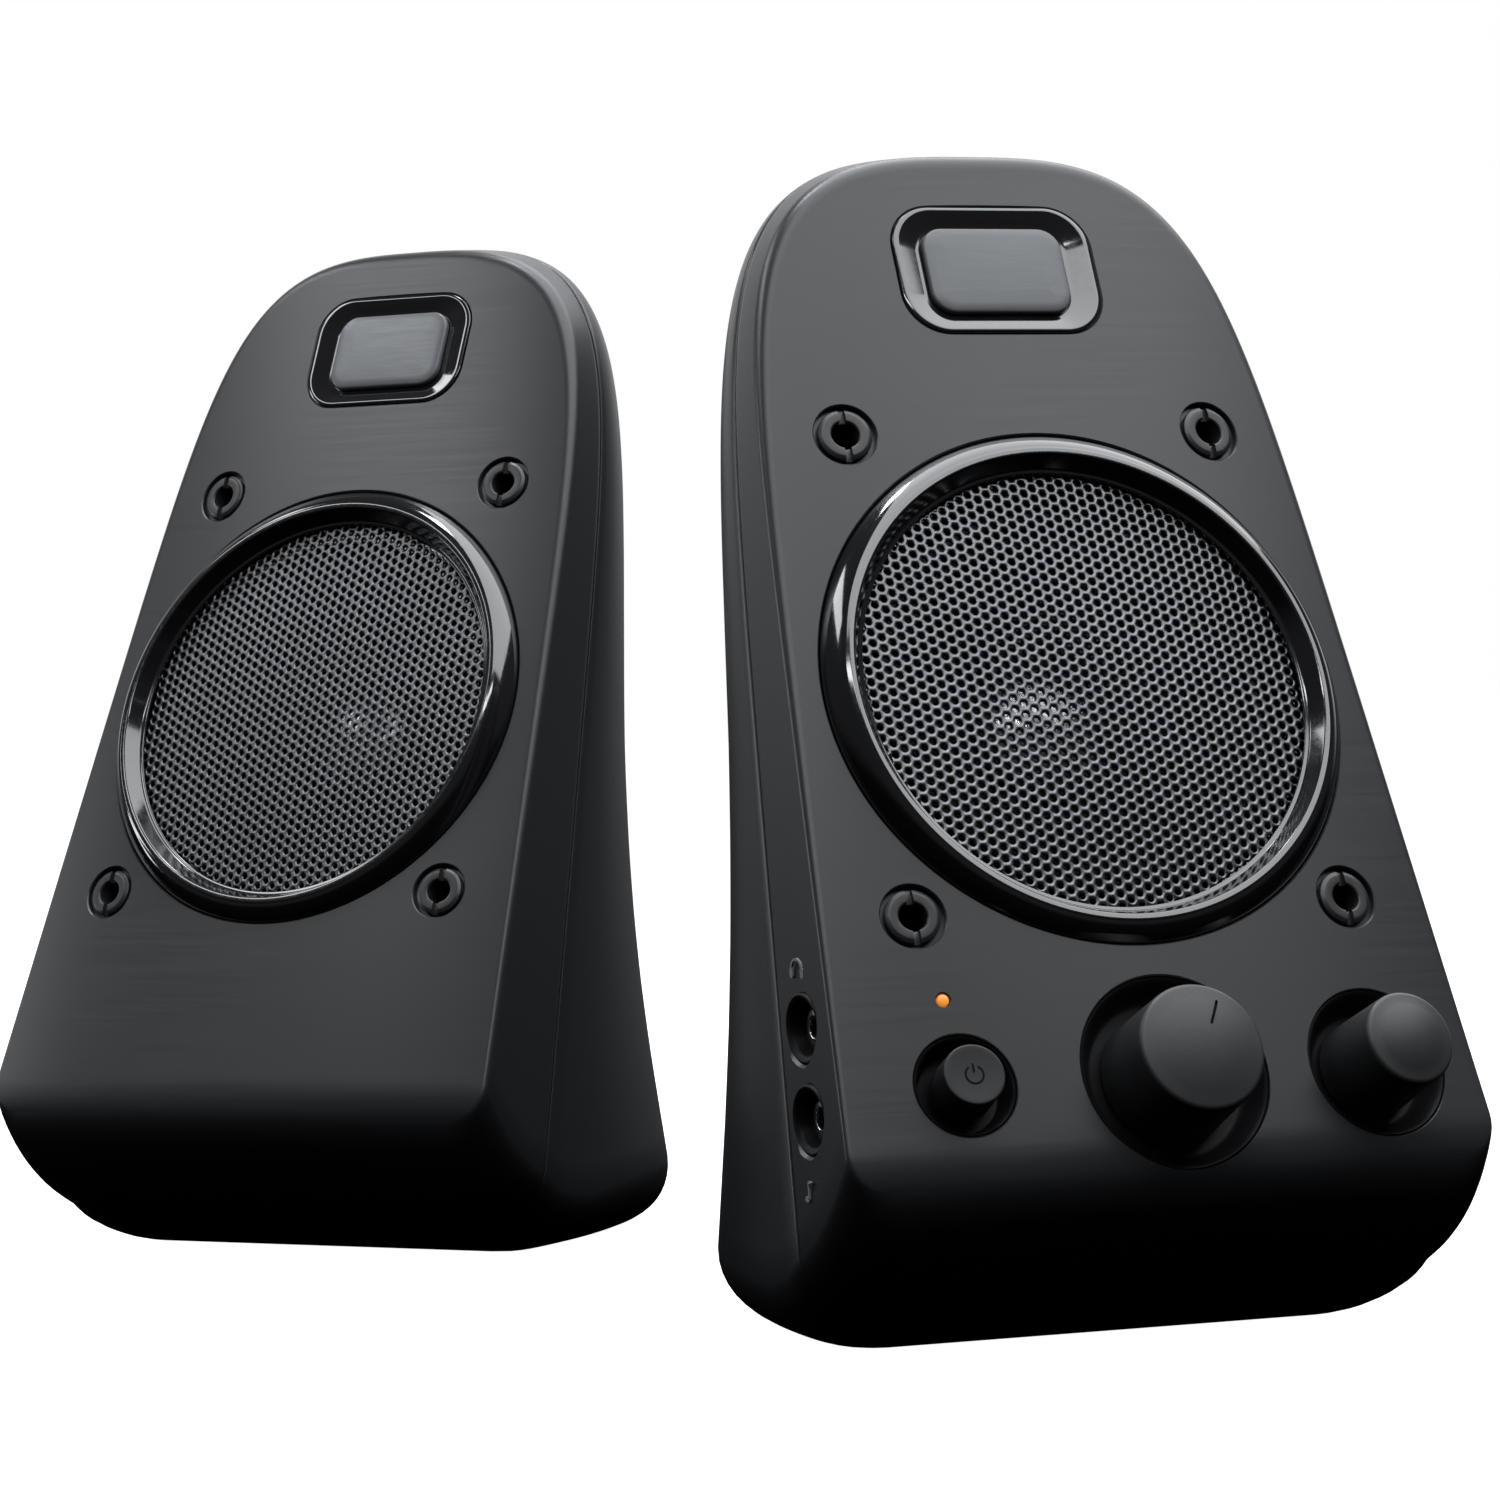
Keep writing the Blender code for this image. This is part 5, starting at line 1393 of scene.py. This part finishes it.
SIGNS = {
    "headphone_sign": ((14.6, 62.4), [
        arc(1.75, 0.42, -0.5 * pi, pi),
        bar(1.7, 0.95, 0.4, (-0.4, -1.75)),
        bar(1.7, 0.95, 0.4, (-0.4, 1.75)),
    ]),
    "note_sign": ((20.6, 28.6), [
        bar(0.9, 1.3, 0.44, (-1.3, 0.35)),
        bar(2.9, 0.32, 0.14, (0.1, -0.2)),
        bar(0.4, 1.0, 0.18, (1.35, -0.6)),
    ]),
}
small = []
right = partial(stand, "right")
for name, place in JACKS.items():
    spot = partial(at_wall, *place)
    small.append(show(name + "_cup", moved([lathe(jack_cup(), 64)], spot, right),
                      WELL_BLACK, [name + "_jack"]))
    small.append(show(name + "_bush", moved([lathe(jack_bush(), 48)], spot, right),
                      BRIGHT_ALLOY))
for name, (place, patches) in SIGNS.items():
    patches = moved(patches, partial(at_wall, *place, sink=0.0), right)
    small.append(show(name, patches, PRINT_INK))
patches = moved([lathe(light_pipe(), 32)], partial(at_spot, LED_U, LED_V), right)
small.append(show("indicator_pipe", patches, AMBER_LENS, ["indicator_lens"]))
tell("jacks, signs and indicator", small)

# %% [markdown]
# Underneath, a rubber foot fills a pocket of the base, and at the back a rubber gland lines
# the cord's hole. Both are simple turned or carried profiles with soft edges.

# %% Feet and glands
GLAND_BORE = 1.9
GLAND_FLANGE = 6.5
GLAND_END = -9.0


def foot_pad():
    """A pad with a soft lower edge, closed above and below."""
    top = FOOT_DROP + FOOT_POCKET - 0.25
    half = 0.5 * FOOT[1]
    corners = [(half, top), (0.0, top), (0.0, 0.0), (half, 0.0)]
    return border(*FOOT, soften(corners, [0.0, 0.2, 0.7, 0.0], 5), 12)


def gland():
    """A flanged bush with a through bore."""
    corners = [(GLAND_BORE, 3.0), (5.6, 3.0), (GLAND_FLANGE, 2.3), (GLAND_FLANGE, 1.0)]
    corners += [(GLAND_RADIUS, 1.0), (GLAND_RADIUS, GLAND_END), (GLAND_BORE, GLAND_END)]
    return lathe(soften(corners, [0.3, 0.4, 0.4, 0.2, 0.1, 0.3, 0.2], 4, closed=True), 48)


base = both("_foot_pad", "_foot", [foot_pad()], under_foot, RUBBER)
base += both("_gland_skin", "_cable_gland", [gland()], at_spine, RUBBER)
tell("feet and glands", base)

# %% [markdown]
# What stays inside keeps its solid from the frame: baskets, magnets, yokes and coils, the
# board with its pots and its switch, and the shafts. Each gets the finish of its material.

# %% Finishes for the solids that stay
INSIDE = {
    "basket": PLATED_STEEL,
    "magnet": FERRITE,
    "yoke": PLATED_STEEL,
    "voice_coil": COPPER,
    "shaft": PLATED_STEEL,
    "pot": PLATED_STEEL,
    "switch": WELL_BLACK,
    "board": CIRCUIT_BOARD,
}
kept = [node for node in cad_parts.values() if not node.hide_render]
for node in kept:
    look = next(look for ending, look in INSIDE.items() if node.name.endswith(ending))
    node.data.materials.clear()
    node.data.materials.append(look)
print("solids that stay:", ", ".join(sorted(node.name for node in kept)))

# %% [markdown]
# A studio for black gloss is mostly a choice of what it reflects. Soft boxes hang over the left
# and the right, a small panel stands at the left, and two strips overhead light the crowns and
# the trim. Each is a rectangular area light, which gives straight, soft-edged highlights.

# %% Studio
COOL_WHITE = (0.94, 0.97, 1.0)
LIGHTS = {
    "left_softbox": ((-0.90, 0.08, 1.0), (-0.90, 0.08, 0.0), (0.36, 0.95), 6.2),
    "right_softbox": ((0.49, 0.15, 1.0), (0.49, 0.15, 0.0), (1.22, 1.8), 25.0),
    "left_panel": ((-1.03, 0.25, 0.32), (0.0, 0.0, 0.1), (0.12, 0.5), 1.3),
    "top_strip": ((-0.08, 0.2, 1.0), (-0.08, 0.2, 0.0), (0.36, 0.16), 4.5),
    "front_strip": ((-0.05, -0.95, 1.0), (-0.05, -0.95, 0.0), (0.9, 0.12), 4.0),
}


def frame_matrix(right, up, back, place):
    """A 4 x 4 matrix from three axes and a place."""
    matrix = np.eye(4)
    matrix[:3] = np.stack([right, up, back, place], axis=1)
    return Matrix(matrix.tolist())


def area(name, place, aim, size, power):
    """A rectangular soft light at a place, aimed at a point, a little cool."""
    data = bpy.data.lights.new(name, "AREA")
    data.color = COOL_WHITE
    data.shape = "RECTANGLE"
    data.size, data.size_y = size
    data.energy = power
    back = unit(np.array(place) - np.array(aim))
    level = abs(back[2]) < 0.99
    right = unit(np.cross([0.0, 0.0, 1.0], back)) if level else np.array([1.0, 0.0, 0.0])
    add_object(name, data).matrix_world = frame_matrix(right, np.cross(back, right), back, place)


for name, row in LIGHTS.items():
    area(name, *row)
print("lights:", ", ".join(LIGHTS))

# %% [markdown]
# The sky is dark below and dim in front, and bright only behind the pair above the horizon, so
# that it draws soft edges without greying the faces. The camera sees plain white instead. The
# pale floor glows by itself and is kept out of reflections and bounced light, so the chins
# stay black, as over a dark table.

# %% Sky and floor
FLOOR_HALF = 9.0
SKY_RISE = (0.0, 1.0, -0.08, 0.2, "SMOOTHSTEP")
SKY_BEHIND = (0.07, 1.0, 0.5, 0.85, "SMOOTHSTEP")

world = bpy.data.worlds.new("studio")
world.use_nodes = True
bpy.context.scene.world = world
tree = world.node_tree
axes = add(tree, "SeparateXYZ", {"Vector": add(tree, "TexCoord").outputs["Generated"]}).outputs
rise = spread(tree, axes["Z"], *SKY_RISE)
behind = spread(tree, axes["Y"], *SKY_BEHIND)
sky = add(tree, "Math", {0: rise, 1: behind}, operation="MULTIPLY").outputs["Value"]
dim = tree.nodes["Background"]
feed(tree, dim, {"Color": (*COOL_WHITE, 1.0), "Strength": sky})
seen = add(tree, "Background", {"Color": (1.0, 1.0, 1.0, 1.0), "Strength": 1.0})
by_camera = add(tree, "LightPath").outputs["Is Camera Ray"]
shaders = {1: dim.outputs["Background"], 2: seen.outputs["Background"]}
chosen = add(tree, "MixShader", {"Fac": by_camera, **shaders}).outputs["Shader"]
feed(tree, tree.nodes["World Output"], {"Surface": chosen})

mesh = bpy.data.meshes.new("floor")
corners = [(x * FLOOR_HALF, y * FLOOR_HALF, 0.0) for x, y in ((-1, -1), (1, -1), (1, 1), (-1, 1))]
mesh.from_pydata(corners, [], [(0, 1, 2, 3)])
floor = add_object("floor", mesh)
pale = grained("pale_floor", (0.5, 0.5, 0.5), 0.8, drift=0.01, specular=0.1, shine=1.0)
mesh.materials.append(pale)
floor.visible_glossy = False
floor.visible_diffuse = False
print("floor is", 2.0 * FLOOR_HALF, "m wide")

# %% [markdown]
# The camera stands low and about a metre away with a long lens, turned by the photograph's own
# tilt and roll. Its axes are worked out from the two angles and written as one matrix, which
# leaves no doubt about the order of turns.

# %% Camera
TILT = radians(0.71)
ROLL = radians(-1.56)
CAMERA_PLACE = (0.01494, -0.96661, 0.1076)
level_up = np.array([0.0, sin(TILT), cos(TILT)])
level_right = np.array([1.0, 0.0, 0.0])
back = np.array([0.0, -cos(TILT), sin(TILT)])
right = cos(ROLL) * level_right + sin(ROLL) * level_up
up = cos(ROLL) * level_up - sin(ROLL) * level_right
camera = add_object("camera", bpy.data.cameras.new("camera"))
camera.matrix_world = frame_matrix(right, up, back, CAMERA_PLACE)
camera.data.lens = 128.69
camera.data.sensor_width = 36.0
camera.data.clip_end = 50.0
bpy.context.scene.camera = camera
bpy.context.scene.view_settings.view_transform = "Standard"
print("camera lens", camera.data.lens, "mm")

# %% [markdown]
# Last, the view layer is brought up to date.

# %% Finish
bpy.context.view_layer.update()
